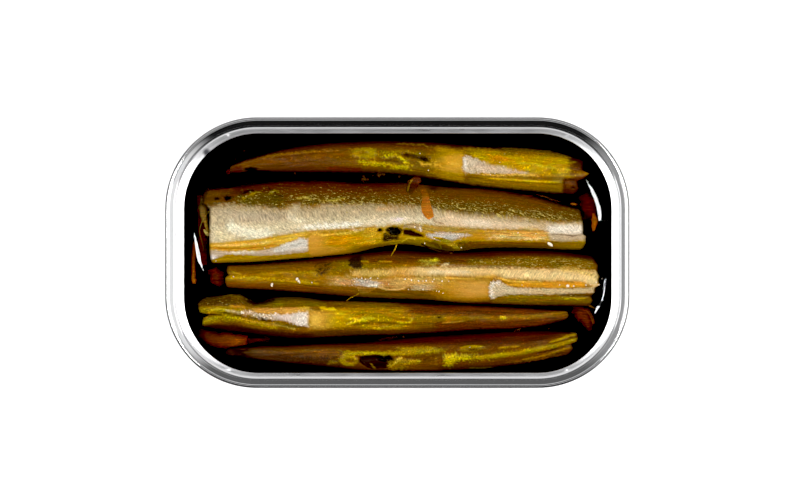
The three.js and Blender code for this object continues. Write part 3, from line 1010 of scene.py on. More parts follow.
# The second garfish is the broadest. Its silver flank faces up under a brown back speckled
# with gold, its belly skin has split open in the middle, and its left end is cut square.
fish = cut_garfish(
    "garfish_2_skin",
    stations=[
        (-44.1, 15.4, -2.9, 23.2),
        (-38.0, 16.2, -2.6, 23.3),
        (-32.0, 17.0, -2.5, 23.4),
        (-24.0, 17.5, -1.8, 23.4),
        (-16.0, 17.5, -1.1, 23.4),
        (-10.0, 17.0, -0.3, 23.3),
        (-4.0, 16.8, 1.1, 23.3),
        (2.0, 16.8, 1.8, 23.3),
        (7.0, 16.2, 0.9, 23.2),
        (13.0, 15.7, 0.1, 23.2),
        (20.0, 15.4, 0.9, 23.2),
        (30.0, 13.9, 1.0, 23.2),
        (38.0, 11.8, 0.7, 23.2),
        (44.0, 10.3, 0.5, 23.1),
    ],
    thickness=0.6,
    roll=-9,
    left_end=[(-3, -44.0), (3.9, -44.1), (10.2, -44.1), (11.5, -45.6), (15, -45.4)],
    right_end=[(0.5, 43.4), (2.0, 44.1), (3.8, 44.2), (4.2, 43.5), (6.9, 43.5), (10.0, 43.0)],
    ground=[
        (-1.15, (60, 40, 3)),
        (-0.98, (150, 116, 8)),
        (-0.8, (176, 138, 16)),
        (-0.5, (176, 136, 20)),
        (0.2, (150, 110, 12)),
        (0.4, (104, 70, 5)),
        (0.72, (88, 46, 4)),
        (0.9, (76, 32, 3)),
        (1.05, (34, 12, 2)),
    ],
    edges=(1.1, 0.3),
)
lay(fish, band([(0, 18, 10), (15, 16, 9), (44, 11, 7)], "right"), (104, 68, 4), 2.0, 0.3, 0.8)
lay(fish, band([(-46, 14.8, 9.8), (-43, 14.9, 10.2), (-39, 14.8, 10.6)], "left"),
    (98, 66, 5), 0.9, 0.5, 0.9, grain=0.4)
lay(fish, band([(-39, 12.9, 10.6), (-35, 13.9, 10.4), (-30, 14.2, 10.2), (-26, 13.4, 10.0)]),
    (84, 66, 4), 0.6, 0.6, 0.9, flecks=1.0, grain=0.3)
lay(fish, band([(-38, 16.4, 10.2), (-20, 16.6, 10.4), (0, 15.8, 10.4), (14, 14.2, 8.6), (30, 12.4, 7.2),
    (43.6, 10.6, 6.6)]), None, 3.0, 1.0, 1.0, flecks=0.5)
lay(fish, band([(-25, 13.2, 10.2), (-20, 13.5, 10.6), (-12, 13.4, 10.6), (0, 13.1, 10.6), (8, 12.6, 10.0),
    (14, 12.2, 8.8), (22, 11.3, 8.2), (30, 10.5, 7.4), (38, 9.8, 6.7), (43.4, 9.8, 6.6)]),
    (88, 66, 4), 1.8, 0.9, 0.95, flecks=1.0, grain=0.25)
# Two near-black pits sunk into the back: painted shade in them.
lay(fish, oval(-42.2, 12.7, 0.62, 0.45), (14, 4, 1), 0.3, 0.3, 1.0, -0.2)
lay(fish, oval(-39.7, 12.8, 1.15, 0.7, 10), (12, 3, 1), 0.3, 0.4, 1.0, -0.25)
lay(fish, line([(-37, 13.4), (-35.4, 14.2), (-33.4, 14.6)], 0.35), (26, 8, 1), 0.3, 0.3, 0.9)
lay(fish, line([(-31, 15.4), (-28, 13.6), (-26.4, 13.0)], 0.4), (40, 14, 3), 0.4, 0.4, 0.8)
lay(fish, line([(-36.6, 12.4), (-35.0, 13.2), (-33.2, 14.1), (-31.8, 14.3)], 0.3),
    (142, 120, 18), 0.3, 0.4, 0.9, grain=0.9)
lay(fish, line([(-30.2, 13.7), (-28.6, 14.6), (-27.8, 13.9)], 0.28),
    (150, 130, 20), 0.3, 0.3, 0.9, grain=0.9)
lay(fish, line([(-23.6, 12.6), (-21.6, 13.0), (-20.0, 12.4)], 0.26),
    (196, 170, 66), 0.3, 0.2, 0.8, grain=0.5)
lay(fish, line([(-18.6, 12.1), (-14.8, 12.2), (-12.2, 12.9)], 0.18),
    (190, 162, 60), 0.3, 0.2, 0.8, grain=0.5)
lay(fish, line([(-29, 16.4), (-26, 16.7), (-22, 16.5)], 0.3), (84, 22, 8), 0.5, 0.3, 0.7, grain=0.6)
lay(fish, oval(8.4, 15.0, 1.4, 0.8), (34, 8, 2), 0.8, 0.4, 0.7)

flank = [
    (-44.2, 10.3, 2.1),
    (-42.0, 11.0, 2.2),
    (-39.0, 11.2, 2.5),
    (-35.0, 10.9, 2.9),
    (-31.0, 10.7, 3.4),
    (-27.5, 10.1, 4.0),
    (-25.0, 10.8, 4.4),
    (-24.0, 11.5, 4.6),
    (-22.0, 10.8, 5.0),
    (-16.0, 11.2, 5.3),
    (-10.0, 11.1, 5.8),
    (-4.0, 11.1, 6.1),
    (2.0, 10.9, 6.6),
    (6.0, 10.7, 6.7),
    (10.0, 10.0, 6.2),
    (14.0, 9.3, 6.0),
    (20.0, 8.8, 5.5),
    (27.0, 8.2, 5.3),
    (34.0, 7.2, 5.1),
    (36.0, 7.0, 3.1),
    (44.0, 6.9, 3.0),
]
lay(fish, band(flank, "left right"),
    (196, 174, 136), 0.6, 0.55, 1.0, wrinkles=1.0, grain=0.3, fibres=0.12, flecks=0.0)
lay(fish, band([(x, top + 0.3, top - 1.5) for x, top, _ in flank]),
    (172, 148, 104), 1.4, 0.6, 0.75, flecks=0.55)
lay(fish, band([(-42, 10.2, 7.4), (-36, 9.8, 6.6), (-30, 9.6, 6.8), (-25, 9.6, 7.4)]),
    (188, 170, 142), 1.4, 0.4, 0.7)
# The lighter and near-white strokes along the flank's lower edge below are silver skin with a painted
# highlight along that edge.
lay(fish, band([(x, (top + low) / 2 + 0.2, low - 0.1) for x, top, low in flank[:14]], "left"),
    (226, 208, 168), 1.3, 0.4, 0.85)
lay(fish, line([(-40, 6.4), (-37, 5.2), (-33, 4.4), (-29, 4.8)], 1.3), (254, 246, 214), 0.9, 0.5, 0.8)
lay(fish, line([(-42.5, 5.0), (-41, 3.6), (-38, 3.2)], 0.9), (236, 218, 168), 0.9, 0.5, 0.7)
lay(fish, line([(-26, 8.4), (-23, 7.4), (-21, 7.0)], 0.55), (242, 226, 190), 0.6, 0.4, 0.8)
lay(fish, line([(-25.4, 9.4), (-23.2, 10.3)], 0.3), (240, 222, 180), 0.4, 0.3, 0.8)
lay(fish, line([(-23, 5.8), (-17, 6.1), (-12, 6.5), (-8, 6.8)], 0.62),
    (252, 244, 222), 0.6, 0.5, 0.9, 0.06, wrinkles=1.0)
lay(fish, line([(-8, 7.0), (-3, 7.4), (3, 7.5), (8, 7.2)], 0.7), (240, 222, 186), 0.8, 0.4, 0.8)
lay(fish, oval(0.2, 7.7, 1.5, 0.45), (250, 232, 236), 0.5, 0.3, 0.9)
lay(fish, line([(-5, 10.2), (-2, 10.2), (0.5, 9.9)], 0.5), (206, 156, 104), 0.6, 0.3, 0.7)
lay(fish, oval(-14, 8.6, 3.4, 1.0, 5), (186, 166, 128), 1.0, 0.4, 0.7)
lay(fish, band([(9, 9.6, 6.2), (18, 8.4, 5.6), (26, 7.4, 5.4), (34.6, 6.6, 5.2)]),
    (240, 208, 168), 1.2, 0.3, 0.8, wrinkles=0.5)
lay(fish, line([(15, 7.2), (19, 7.0), (22, 6.6)], 0.8), (240, 220, 190), 1.0, 0.3, 0.7, wrinkles=0.3)
lay(fish, band([(35.0, 6.9, 4.3), (38.5, 6.9, 4.3), (43.6, 6.7, 4.2)], "left right"),
    (250, 234, 212), 0.8, 0.5, 0.95, grain=0.5, wrinkles=0.9)
lay(fish, band([(35.4, 4.2, 2.9), (40, 4.1, 2.9), (44.3, 4.0, 2.7)], "left right"),
    (206, 178, 142), 0.5, 0.4, 0.9, grain=0.7)
lay(fish, band([(33, 7.2, 5.8), (38, 7.4, 6.2), (43.5, 7.4, 6.4)], "right"),
    (188, 160, 112), 0.9, 0.4, 0.6)
lay(fish, oval(16.8, 6.4, 0.22, 0.18), (110, 84, 40), 0.3, 0.0, 0.8)

lay(fish, band([(-44.2, 2.3, 0.5), (-40, 2.4, 0.3), (-36, 2.8, 0.5), (-32, 3.3, 0.8), (-29, 3.7, 1.4),
    (-26, 4.2, 2.2), (-23, 4.7, 3.3), (-20.6, 5.2, 4.0)], "left"),
    (218, 168, 54), 0.35, 0.15, 1.0, -0.1, fibres=0.5, grain=0.15, wrinkles=0.1)
lay(fish, line([(-44, 1.2), (-40, 0.9), (-36, 1.0), (-31, 1.4), (-28, 2.0)], 0.32),
    (170, 104, 4), 0.3, 0.1, 0.85, -0.22)
lay(fish, line([(-43, 1.7), (-38, 1.7), (-33, 2.1), (-29, 2.6)], 0.26),
    (246, 202, 112), 0.3, 0.15, 0.9, 0.08, grain=1.0)
lay(fish, line([(-41, 2.4), (-36, 2.6), (-30, 3.3), (-25, 4.2)], 0.22),
    (190, 136, 12), 0.3, 0.1, 0.8, -0.12)
lay(fish, line([(-26.5, 3.0), (-24, 3.7), (-21.8, 4.5)], 0.24), (238, 196, 84), 0.3, 0.2, 0.9, grain=0.8)
lay(fish, band([(-44, 0.6, -2.0), (-42.6, 0.6, -1.5), (-40, 0.3, -0.6), (-36, 0.4, -0.6),
    (-32, 0.6, -0.8), (-28, 1.5, -0.6), (-25, 2.5, -0.3), (-22, 3.5, 0.0),
    (-20.9, 3.1, 0.2)], "left right"),
    (206, 180, 152), 0.35, 0.2, 1.0, grain=0.35, wrinkles=0.5, fibres=0.2)
lay(fish, band([(-29, 1.0, 0.0), (-26, 2.2, 0.2), (-22.4, 3.3, 0.5), (-20.8, 3.2, 0.6)], "right"),
    (228, 220, 208), 0.5, 0.3, 0.9, 0.1, grain=0.5)
lay(fish, line([(-39, 0.0), (-36.6, 0.0), (-33.4, 0.1)], 0.3), (252, 240, 214), 0.4, 0.3, 0.9, grain=0.8)
lay(fish, line([(-25.5, 0.7), (-22.6, 1.0), (-21, 1.2)], 0.2), (244, 226, 206), 0.3, 0.1, 0.9, 0.06)
lay(fish, line([(-25, 1.5), (-22.4, 2.2), (-21.4, 2.2)], 0.2), (176, 164, 150), 0.3, 0.2, 0.7, -0.1)
lay(fish, oval(-43.2, -1.2, 0.8, 0.6, -20), (250, 236, 238), 0.5, 0.4, 0.9, grain=1.0)
lay(fish, band([(-44.2, -1.6, -3.4), (-36, -0.9, -3.0), (-28, -0.7, -2.6), (-21, -0.2, -1.8)], "left"),
    (198, 156, 24), 0.4, 0.15, 0.9, fibres=0.6)
lay(fish, band([(-20.9, 4.6, -1.3), (-18, 4.4, -1.2), (-15.4, 4.2, -1.0)], "left"),
    (214, 154, 56), 0.8, 0.35, 1.0, fibres=0.15, grain=0.05)
lay(fish, band([(-18, 4.3, 1.6), (-13, 4.3, 1.4), (-9, 4.4, 1.6), (-5, 4.8, 1.8)]),
    (192, 140, 10), 0.8, 0.3, 0.9, fibres=0.8)
lay(fish, band([(-20, 1.6, -1.1), (-16, 1.6, -0.9), (-11, 1.5, -0.4)]), (208, 150, 52), 0.8, 0.2, 0.8)
lay(fish, band([(-11, 1.8, -0.3), (-7, 2.0, 0.5), (-3.6, 2.2, 1.3)]), (132, 96, 6), 0.7, 0.2, 0.8)
lay(fish, line([(-20.5, 5.0), (-15, 5.2), (-9, 5.5), (-5, 5.9)], 0.3),
    (184, 130, 6), 0.3, 0.2, 0.9, -0.1, grain=0.5)
lay(fish, line([(-20.4, 4.5), (-17, 4.1), (-13, 4.5), (-8, 5.1)], 0.24),
    (240, 190, 70), 0.3, 0.25, 0.9, 0.05, grain=0.9)
lay(fish, line([(-11, 5.4), (-9, 5.3), (-7.6, 5.5)], 0.3), (222, 186, 150), 0.4, 0.3, 0.8, grain=0.6)
lay(fish, band([(-7.8, 5.4, 2.4), (-6, 5.6, 1.9), (-3.8, 5.4, 2.2)]),
    (206, 164, 44), 0.5, 0.5, 0.85, grain=1.0)
lay(fish, line([(-10.6, 2.1), (-8.4, 2.3), (-5.4, 2.8)], 0.3), (224, 178, 44), 0.4, 0.4, 0.8, grain=0.9)

# The split in the belly skin: sunk in, with its near-black inside painted shade.
lay(fish, band([(-3.4, 4.4, 2.4), (-2.0, 4.4, 2.6), (0.4, 4.0, 2.9)], "left right"),
    (50, 30, 3), 0.4, 0.4, 1.0, -0.6, grain=1.0, flecks=0.5)
lay(fish, oval(-4.0, 5.2, 0.65, 0.55), (3, 2, 1), 0.3, 0.25, 1.0, -0.6)
lay(fish, oval(-0.7, 5.0, 1.9, 1.15, -8), (0, 0, 0), 0.35, 0.3, 1.0, -1.3, grain=0.0, fibres=0.0)
lay(fish, band([(1.3, 5.4, 4.2), (3.0, 5.4, 3.9), (4.4, 4.8, 3.7), (6.2, 4.1, 3.6)], "left right"),
    (42, 10, 1), 0.3, 0.12, 1.0, -0.9, grain=0.1)
lay(fish, band([(1.4, 6.4, 5.7), (3.2, 6.9, 5.6), (5.0, 6.9, 5.2), (6.0, 6.3, 4.7)], "left right"),
    (176, 152, 112), 0.35, 0.35, 0.9, 0.15, grain=1.0)
lay(fish, line([(1.2, 6.2), (3.2, 6.8), (4.8, 7.0)], 0.16), (110, 90, 44), 0.3, 0.2, 0.8)
lay(fish, oval(5.4, 5.5, 0.3, 0.5, 20), (252, 240, 226), 0.3, 0.2, 1.0, 0.1)
lay(fish, band([(5.9, 6.3, 4.8), (9, 6.2, 4.8), (14, 6.0, 4.6), (19, 5.4, 4.5)], "left"),
    (170, 134, 62), 0.5, 0.2, 0.95, fibres=0.6, wrinkles=0.2)
lay(fish, band([(6.6, 4.5, 4.0), (8.0, 4.6, 3.2), (10.5, 4.8, 2.9), (13, 4.7, 2.9), (15, 4.5, 3.3),
    (17.4, 4.3, 4.0)], "left right"), (202, 186, 178), 0.35, 0.35, 1.0, 0.12, grain=1.0)
lay(fish, band([(-2.2, 2.6, 1.7), (0, 2.9, 1.6), (2.6, 3.5, 1.6), (5, 3.4, 1.6), (6.6, 2.8, 1.4)]),
    (146, 120, 8), 0.35, 0.2, 1.0, 0.1, grain=0.5)
# A painted highlight along the lip below the split.
lay(fish, line([(-2, 2.0), (0.6, 2.2), (2.4, 3.3), (4.6, 3.2)], 0.2),
    (222, 190, 58), 0.3, 0.15, 0.9, 0.08, grain=0.6)
lay(fish, band([(6.2, 2.9, 0.8), (9, 2.6, 0.4), (12, 1.8, 0.0), (14, 1.2, -0.2)]),
    (84, 60, 5), 0.5, 0.3, 0.9, grain=0.5)
lay(fish, line([(6.4, 1.8), (8.2, 1.6), (10.4, 0.6)], 0.26), (146, 124, 10), 0.3, 0.2, 0.9, grain=0.4)
lay(fish, band([(13.6, 2.8, -0.1), (15.4, 2.6, 0.2), (18, 2.8, 0.8)]),
    (70, 50, 3), 0.5, 0.4, 0.9, grain=0.8)
lay(fish, band([(17.0, 5.1, 3.0), (19.5, 5.1, 2.9), (22, 5.0, 2.9)]),
    (194, 136, 36), 0.7, 0.2, 0.95, fibres=0.2)
lay(fish, band([(21, 5.1, 2.9), (28, 5.0, 2.8), (35.6, 5.0, 2.8)], "right"),
    (208, 162, 88), 0.8, 0.3, 0.95, fibres=0.9)
lay(fish, line([(21.5, 3.5), (25, 3.8), (29, 3.4), (32, 3.2), (34.6, 3.5)], 0.32),
    (240, 204, 142), 0.3, 0.4, 0.85, grain=1.0)
lay(fish, line([(14, 5.5), (20, 5.4), (27, 5.1), (35, 5.0)], 0.14), (164, 112, 32), 0.25, 0.05, 0.9, -0.1)
lay(fish, band([(16, 2.8, 0.9), (24, 2.7, 1.0), (32, 2.6, 0.9), (38, 2.7, 0.6)]),
    (112, 74, 6), 0.35, 0.15, 0.9, fibres=0.8)
lay(fish, band([(36, 2.7, 0.4), (40, 2.8, 0.3), (44, 2.6, 0.3)], "right"), (134, 102, 6), 0.5, 0.2, 0.9)
lay(fish, line([(35.6, 4.4), (39, 4.2), (41, 3.9), (43.6, 4.3)], 0.13),
    (96, 64, 34), 0.2, 0.08, 0.95, -0.2)
lay(fish, line([(33.6, 2.9), (34.6, 2.5), (35.2, 2.2)], 0.3), (168, 130, 60), 0.4, 0.2, 0.8)
lay(fish, line([(8.3, 7.9), (8.9, 7.2), (10.9, 6.8)], 0.14), (126, 84, 34), 0.2, 0.05, 0.9, -0.08)
dress_garfish(fish, "garfish_2")

# The third garfish lies along the middle. Its back is up on the left, and on the right a
# pinkish silver band shows, with a gold seam beside it and a silver patch on the belly.
fish = cut_garfish(
    "garfish_3_skin",
    stations=[
        (-40.2, -2.8, -8.3, 22.2),
        (-34.0, -2.7, -8.7, 22.4),
        (-26.0, -2.0, -9.2, 22.6),
        (-18.0, -1.2, -9.9, 22.9),
        (-8.0, 0.0, -10.7, 23.1),
        (0.0, 0.7, -11.1, 23.2),
        (8.0, 0.3, -11.4, 23.3),
        (16.0, 0.3, -12.1, 23.3),
        (28.0, 0.8, -12.6, 23.3),
        (38.0, 0.5, -12.8, 23.3),
        (46.6, -0.5, -12.8, 23.2),
    ],
    thickness=0.78,
    roll=-7,
    left_end=[(-8, -40.2), (-6, -40.4), (-5.2, -39.7), (-4.4, -40.1), (-3, -40.0)],
    right_end=[
        (-12.6, 45.2), (-11.2, 46.0), (-10.2, 45.4), (-9.2, 46.4), (-8.2, 46.3), (-7.6, 47.6),
        (-6.6, 47.0), (-5.6, 47.5), (-4.4, 46.8), (-3.0, 47.1), (-0.8, 46.0),
    ],
    ground=[
        (-1.15, (22, 6, 1)),
        (-0.95, (92, 54, 3)),
        (-0.7, (122, 82, 5)),
        (-0.1, (148, 108, 10)),
        (0.5, (124, 84, 6)),
        (0.8, (80, 44, 4)),
        (0.98, (48, 18, 3)),
        (1.12, (14, 4, 1)),
    ],
    edges=(0.4, 0.45),
)
fish["flow"] = -fish["flow"]
lay(fish, band([(-40.4, -3.2, -5.0), (-34, -2.9, -5.2), (-26, -2.6, -4.6), (-20, -2.4, -4.4)], "left"),
    (112, 78, 4), 0.8, 0.4, 0.8)
# A near-black pit: painted shade in it.
lay(fish, oval(-39.9, -5.2, 0.6, 0.28, -10), (20, 6, 1), 0.3, 0.1, 1.0, -0.3)
lay(fish, line([(-38.8, -4.3), (-37.4, -4.9), (-36.4, -5.2)], 0.3),
    (166, 134, 18), 0.4, 0.3, 0.9, grain=0.8)
lay(fish, line([(-40, -6.0), (-37, -5.8), (-32, -6.0), (-28, -6.5), (-24, -6.9), (-18.6, -7.2)], 0.42),
    (192, 154, 20), 0.5, 0.4, 0.9, 0.06, grain=0.9)
lay(fish, line([(-33, -5.2), (-26, -4.7), (-20, -4.7), (-17, -4.9)], 0.5), (172, 132, 10), 0.6, 0.3, 0.8)
lay(fish, band([(-40, -6.6, -8.6), (-30, -7.2, -9.0), (-22, -7.6, -9.5), (-16, -8.2, -9.9)], "left"),
    (112, 66, 3), 0.6, 0.2, 0.85, fibres=0.7)
lay(fish, line([(-30, -6.8), (-26, -7.0), (-20, -7.9), (-16, -8.2)], 0.14),
    (70, 34, 2), 0.3, 0.1, 0.8, -0.2)
lay(fish, oval(-23.4, -4.4, 0.3, 0.25), (62, 32, 2), 0.3, 0.1, 0.8)
lay(fish, oval(-17.3, -3.8, 2.3, 1.25, 38), (96, 66, 3), 0.5, 0.3, 0.9, 0.1, grain=1.0, wrinkles=1.0)
lay(fish, line([(-19.0, -5.6), (-18.2, -4.0), (-16.8, -3.0), (-15.4, -2.4)], 0.16),
    (40, 22, 1), 0.2, 0.2, 0.9)
lay(fish, line([(-18.2, -5.4), (-17.2, -4.4), (-15.8, -3.6)], 0.14), (44, 24, 1), 0.2, 0.2, 0.9)
lay(fish, line([(-19.4, -3.4), (-18.6, -2.6), (-17.4, -2.2)], 0.14), (48, 26, 1), 0.2, 0.2, 0.9)
lay(fish, band([(-15, -2.2, -4.2), (-12, -1.9, -4.2), (-8, -2.2, -4.2), (-2, -2.6, -4.0)]),
    (126, 102, 5), 0.6, 0.4, 0.9, grain=0.4)
lay(fish, band([(-11.4, -1.4, -3.0), (-9.8, -0.6, -3.9), (-8.0, -0.5, -3.6)], "left right"),
    (46, 28, 4), 0.4, 0.4, 1.0, 0.15, grain=1.0)
lay(fish, band([(-8.4, -0.9, -2.4), (0, -0.8, -2.6), (6, -1.0, -2.4), (14, -1.2, -2.6),
    (20, -0.8, -2.4)]), (92, 56, 3), 0.5, 0.3, 0.8, fibres=0.8)
lay(fish, line([(-8.6, -2.05), (-6.6, -2.1)], 0.2), (178, 142, 16), 0.3, 0.1, 0.9)
lay(fish, line([(-4.4, -2.1), (-1.2, -2.15)], 0.16), (200, 160, 40), 0.3, 0.1, 0.9)
lay(fish, band([(5.6, -1.6, -3.2), (7.4, -1.5, -3.0), (9.6, -1.3, -2.6)]),
    (172, 150, 50), 0.5, 0.4, 0.9, 0.1, grain=0.6)
lay(fish, oval(8.8, -1.75, 0.9, 0.4, 12), (206, 200, 40), 0.4, 0.2, 0.9, grain=0.6)
lay(fish, band([(9.6, -2.4, -3.6), (14, -2.7, -3.7), (22, -2.8, -3.9), (29, -3.0, -3.9)]),
    (150, 120, 78), 0.5, 0.3, 0.85, wrinkles=0.5)
# A pale cream stroke: painted highlight on a bit of silver skin.
lay(fish, line([(10.4, -2.9), (12.2, -2.5)], 0.26), (236, 214, 160), 0.4, 0.2, 0.9, grain=0.4)
lay(fish, oval(21.6, -1.1, 2.6, 0.9), (74, 30, 5), 0.8, 0.3, 0.85)
lay(fish, line([(20.6, -2.2), (22.4, -2.5)], 0.2), (210, 172, 36), 0.3, 0.2, 0.9, grain=0.4)
lay(fish, band([(16, -1.6, -3.2), (24, -1.0, -3.3), (32, -0.8, -3.5), (40, -1.0, -3.8),
    (46, -1.8, -4.0)], "right"), (118, 90, 5), 0.6, 0.3, 0.8, flecks=0.9, grain=0.4)

seam = [
    (-10.4, -4.2, -5.5),
    (-3.0, -3.9, -5.4),
    (4.0, -3.4, -5.5),
    (12.0, -3.3, -5.5),
    (18.0, -3.5, -5.7),
    (22.0, -3.6, -5.4),
    (26.0, -3.5, -6.1),
    (32.0, -3.6, -6.5),
    (38.0, -3.8, -6.7),
    (43.6, -4.0, -6.9),
    (47.2, -4.4, -8.8),
]
lay(fish, band(seam, "right"), (230, 190, 122), 0.5, 0.3, 1.0, 0.08, wrinkles=0.5, fibres=0.2)
lay(fish, band([(-10.6, -4.0, -5.6), (-6, -3.9, -5.6), (-1.6, -3.8, -5.6)]),
    (196, 156, 64), 0.8, 0.4, 0.85, grain=0.5)
lay(fish, band([(-2.8, -3.6, -6.2), (1.0, -3.2, -6.2), (4.0, -3.0, -5.8)]),
    (202, 146, 46), 1.0, 0.4, 0.85, grain=0.4)
lay(fish, line([(7, -4.6), (12, -4.4), (17, -4.6)], 0.6), (240, 214, 168), 0.8, 0.3, 0.8)
lay(fish, band([(24, -3.8, -6.0), (32, -4.0, -6.2), (40, -4.4, -6.4), (46.8, -4.6, -8.0)], "right"),
    (232, 200, 138), 0.8, 0.3, 0.9, wrinkles=1.0)
lay(fish, line([(38, -3.6), (42, -4.2), (46.6, -5.6)], 0.7), (216, 176, 84), 0.8, 0.4, 0.7, grain=0.8)
lay(fish, band([(-40, -3.3, -3.6), (-39, -3.2, -3.7)]), (90, 60, 4), 0.4, 0.1, 0.5)
lay(fish, band([(-16, -5.6, -7.8), (-10, -5.8, -7.9), (-2, -6.0, -8.4), (4, -5.6, -8.4),
    (12, -5.8, -8.6)]), (196, 152, 84), 0.7, 0.3, 0.9, grain=0.4)
lay(fish, band([(-14.8, -6.3, -7.5), (-12, -6.3, -7.6), (-9.6, -6.3, -7.8)]),
    (186, 140, 92), 0.4, 0.4, 0.9, grain=1.0)
lay(fish, band([(-10.2, -6.1, -7.6), (-8, -6.2, -8.0), (-5.6, -6.5, -8.1), (-3.8, -7.0, -8.0)]),
    (188, 172, 160), 0.4, 0.3, 1.0, 0.08, grain=1.0)
lay(fish, line([(-7.2, -7.9), (-5.4, -7.7), (-4.4, -7.4)], 0.26),
    (255, 244, 226), 0.3, 0.2, 1.0, grain=0.6)
lay(fish, band([(-3.4, -6.8, -8.2), (-1.6, -6.8, -8.1)]), (172, 104, 40), 0.5, 0.2, 0.8, -0.1)
lay(fish, line([(-4.4, -8.1), (-2.6, -8.7), (0.2, -8.65), (2.2, -8.2)], 0.3),
    (234, 182, 104), 0.3, 0.1, 0.95, 0.2)
lay(fish, band([(3.0, -7.6, -8.8), (6, -7.4, -8.9), (8.8, -7.6, -8.9)]),
    (196, 164, 122), 0.4, 0.3, 0.9, grain=0.7)
lay(fish, band([(0.6, -6.0, -7.6), (5, -5.9, -7.4), (12.6, -6.0, -7.4)]),
    (214, 172, 92), 0.5, 0.3, 0.85, grain=0.5)
lay(fish, band([(-9.4, -8.9, -10.6), (-5, -8.5, -10.7), (0, -9.1, -10.8), (8, -9.2, -10.9)]),
    (116, 84, 4), 0.4, 0.15, 0.95, -0.25, fibres=0.6)
lay(fish, band([(8, -6.3, -11.2), (12, -6.2, -11.6), (17, -6.3, -11.7), (21.6, -6.2, -11.2)], "right"),
    (184, 132, 24), 1.2, 0.3, 0.9, fibres=0.3)
lay(fish, band([(12.6, -6.5, -10.4), (17, -6.4, -10.8), (21.6, -6.4, -10.6)], "right"),
    (214, 156, 70), 1.6, 0.3, 0.9, fibres=0.15, grain=0.05)
lay(fish, band([(22, -9.8, -12.0), (30, -9.8, -12.2), (38, -9.8, -12.2),
    (45.6, -9.6, -12.0)], "left right"), (128, 96, 6), 0.5, 0.2, 0.9, fibres=0.7)
lay(fish, band([(25, -9.9, -11.4), (34, -10.0, -11.2), (44, -10.0, -11.4)], "right"),
    (140, 110, 8), 0.5, 0.3, 0.8, flecks=0.5, grain=0.6)
lay(fish, band([(21.4, -7.6, -10.2), (22.2, -6.7, -10.9), (23.4, -6.6, -10.6), (24.6, -7.0, -10.1),
    (26.4, -7.9, -9.9), (31, -8.2, -9.9), (38, -8.4, -9.8), (46.2, -8.2, -9.5)], "left right"),
    (208, 184, 146), 0.35, 0.3, 1.0, 0.12, grain=0.7, wrinkles=0.4, fibres=0.2)
lay(fish, line([(22.2, -10.6), (22.0, -8.6), (22.6, -7.0), (24.2, -7.0)], 0.42),
    (240, 226, 206), 0.4, 0.5, 0.9, 0.1, grain=1.0)
lay(fish, band([(30, -8.2, -9.8), (38, -8.4, -9.8), (46, -8.2, -9.4)], "right"),
    (210, 178, 124), 0.6, 0.3, 0.7)
lay(fish, band([(25.6, -7.0, -7.8), (30, -7.0, -8.1), (36, -6.7, -8.3), (44, -6.8, -8.2)], "right"),
    (214, 146, 32), 0.4, 0.15, 1.0, -0.05, fibres=0.4)
lay(fish, line([(9, -6.0), (14, -6.0), (18, -6.0), (20, -5.5), (22, -5.5), (24, -6.0), (26, -6.6),
    (30, -6.9), (34, -6.9)], 0.24), (238, 182, 70), 0.25, 0.05, 0.95, 0.12)
lay(fish, line([(9, -5.65), (18, -5.7), (22, -5.2), (26, -6.1), (33, -6.55)], 0.1),
    (150, 100, 14), 0.25, 0.05, 0.8, -0.1)
lay(fish, line([(39, -11.0), (40.6, -10.6), (42.4, -10.9), (44.2, -10.6)], 0.24),
    (196, 170, 34), 0.3, 0.2, 0.9, 0.1, grain=0.6)
lay(fish, band([(38, -9.7, -10.3), (41, -9.6, -10.4), (45.6, -9.6, -10.6)], "right"),
    (70, 40, 4), 0.3, 0.2, 0.8, -0.2)
dress_garfish(fish, "garfish_3")

# The fourth garfish is split at its left end into two ragged lobes. A fold of its back lies
# over like a leaf, beside a bright silver patch, and it narrows to the right.
fish = cut_garfish(
    "garfish_4_skin",
    stations=[
        (-46.6, -10.4, -17.6, 22.2),
        (-42.0, -9.8, -18.2, 22.4),
        (-37.0, -9.6, -18.8, 22.6),
        (-33.4, -11.4, -19.3, 22.7),
        (-29.0, -10.3, -19.9, 22.9),
        (-24.0, -10.1, -20.3, 22.9),
        (-17.0, -10.9, -20.1, 22.9),
        (-10.0, -11.2, -19.7, 22.9),
        (0.0, -11.5, -19.5, 22.8),
        (8.0, -12.0, -19.0, 22.7),
        (18.0, -12.3, -18.2, 22.5),
        (28.0, -12.9, -17.9, 22.3),
        (36.0, -13.3, -16.9, 22.1),
        (40.2, -13.6, -15.8, 21.9),
    ],
    thickness=0.85,
    roll=5,
    left_end=[
        (-18, -44.8), (-17, -45.9), (-15.2, -45.6), (-14.6, -44.2), (-14.0, -46.4), (-12, -46.9),
        (-10, -45.4),
    ],
    right_end=[(-16, 39.4), (-15, 40.1), (-13.6, 40.0)],
    ground=[
        (-1.15, (18, 5, 1)),
        (-0.95, (62, 32, 2)),
        (-0.65, (104, 66, 3)),
        (0.0, (150, 112, 5)),
        (0.5, (124, 86, 4)),
        (0.8, (92, 54, 3)),
        (0.98, (44, 18, 2)),
        (1.12, (12, 4, 1)),
    ],
    edges=(0.5, 0.6),
)
lay(fish, band([(6, -11, -20), (18, -11, -20), (30, -12, -19), (41, -13, -18)], "right"),
    (102, 56, 3), 4.0, 0.3, 0.55)
lay(fish, band([(-47, -9.8, -12.9), (-42, -9.6, -12.6), (-36, -9.6, -12.6),
    (-32.6, -10.6, -12.4)], "left"), (78, 54, 4), 0.7, 0.5, 0.95, grain=0.9, flecks=0.4)
lay(fish, line([(-41, -10.6), (-39.4, -9.8), (-38.2, -10.3), (-36.2, -10.6)], 0.3),
    (136, 108, 16), 0.4, 0.3, 0.9, grain=0.9)
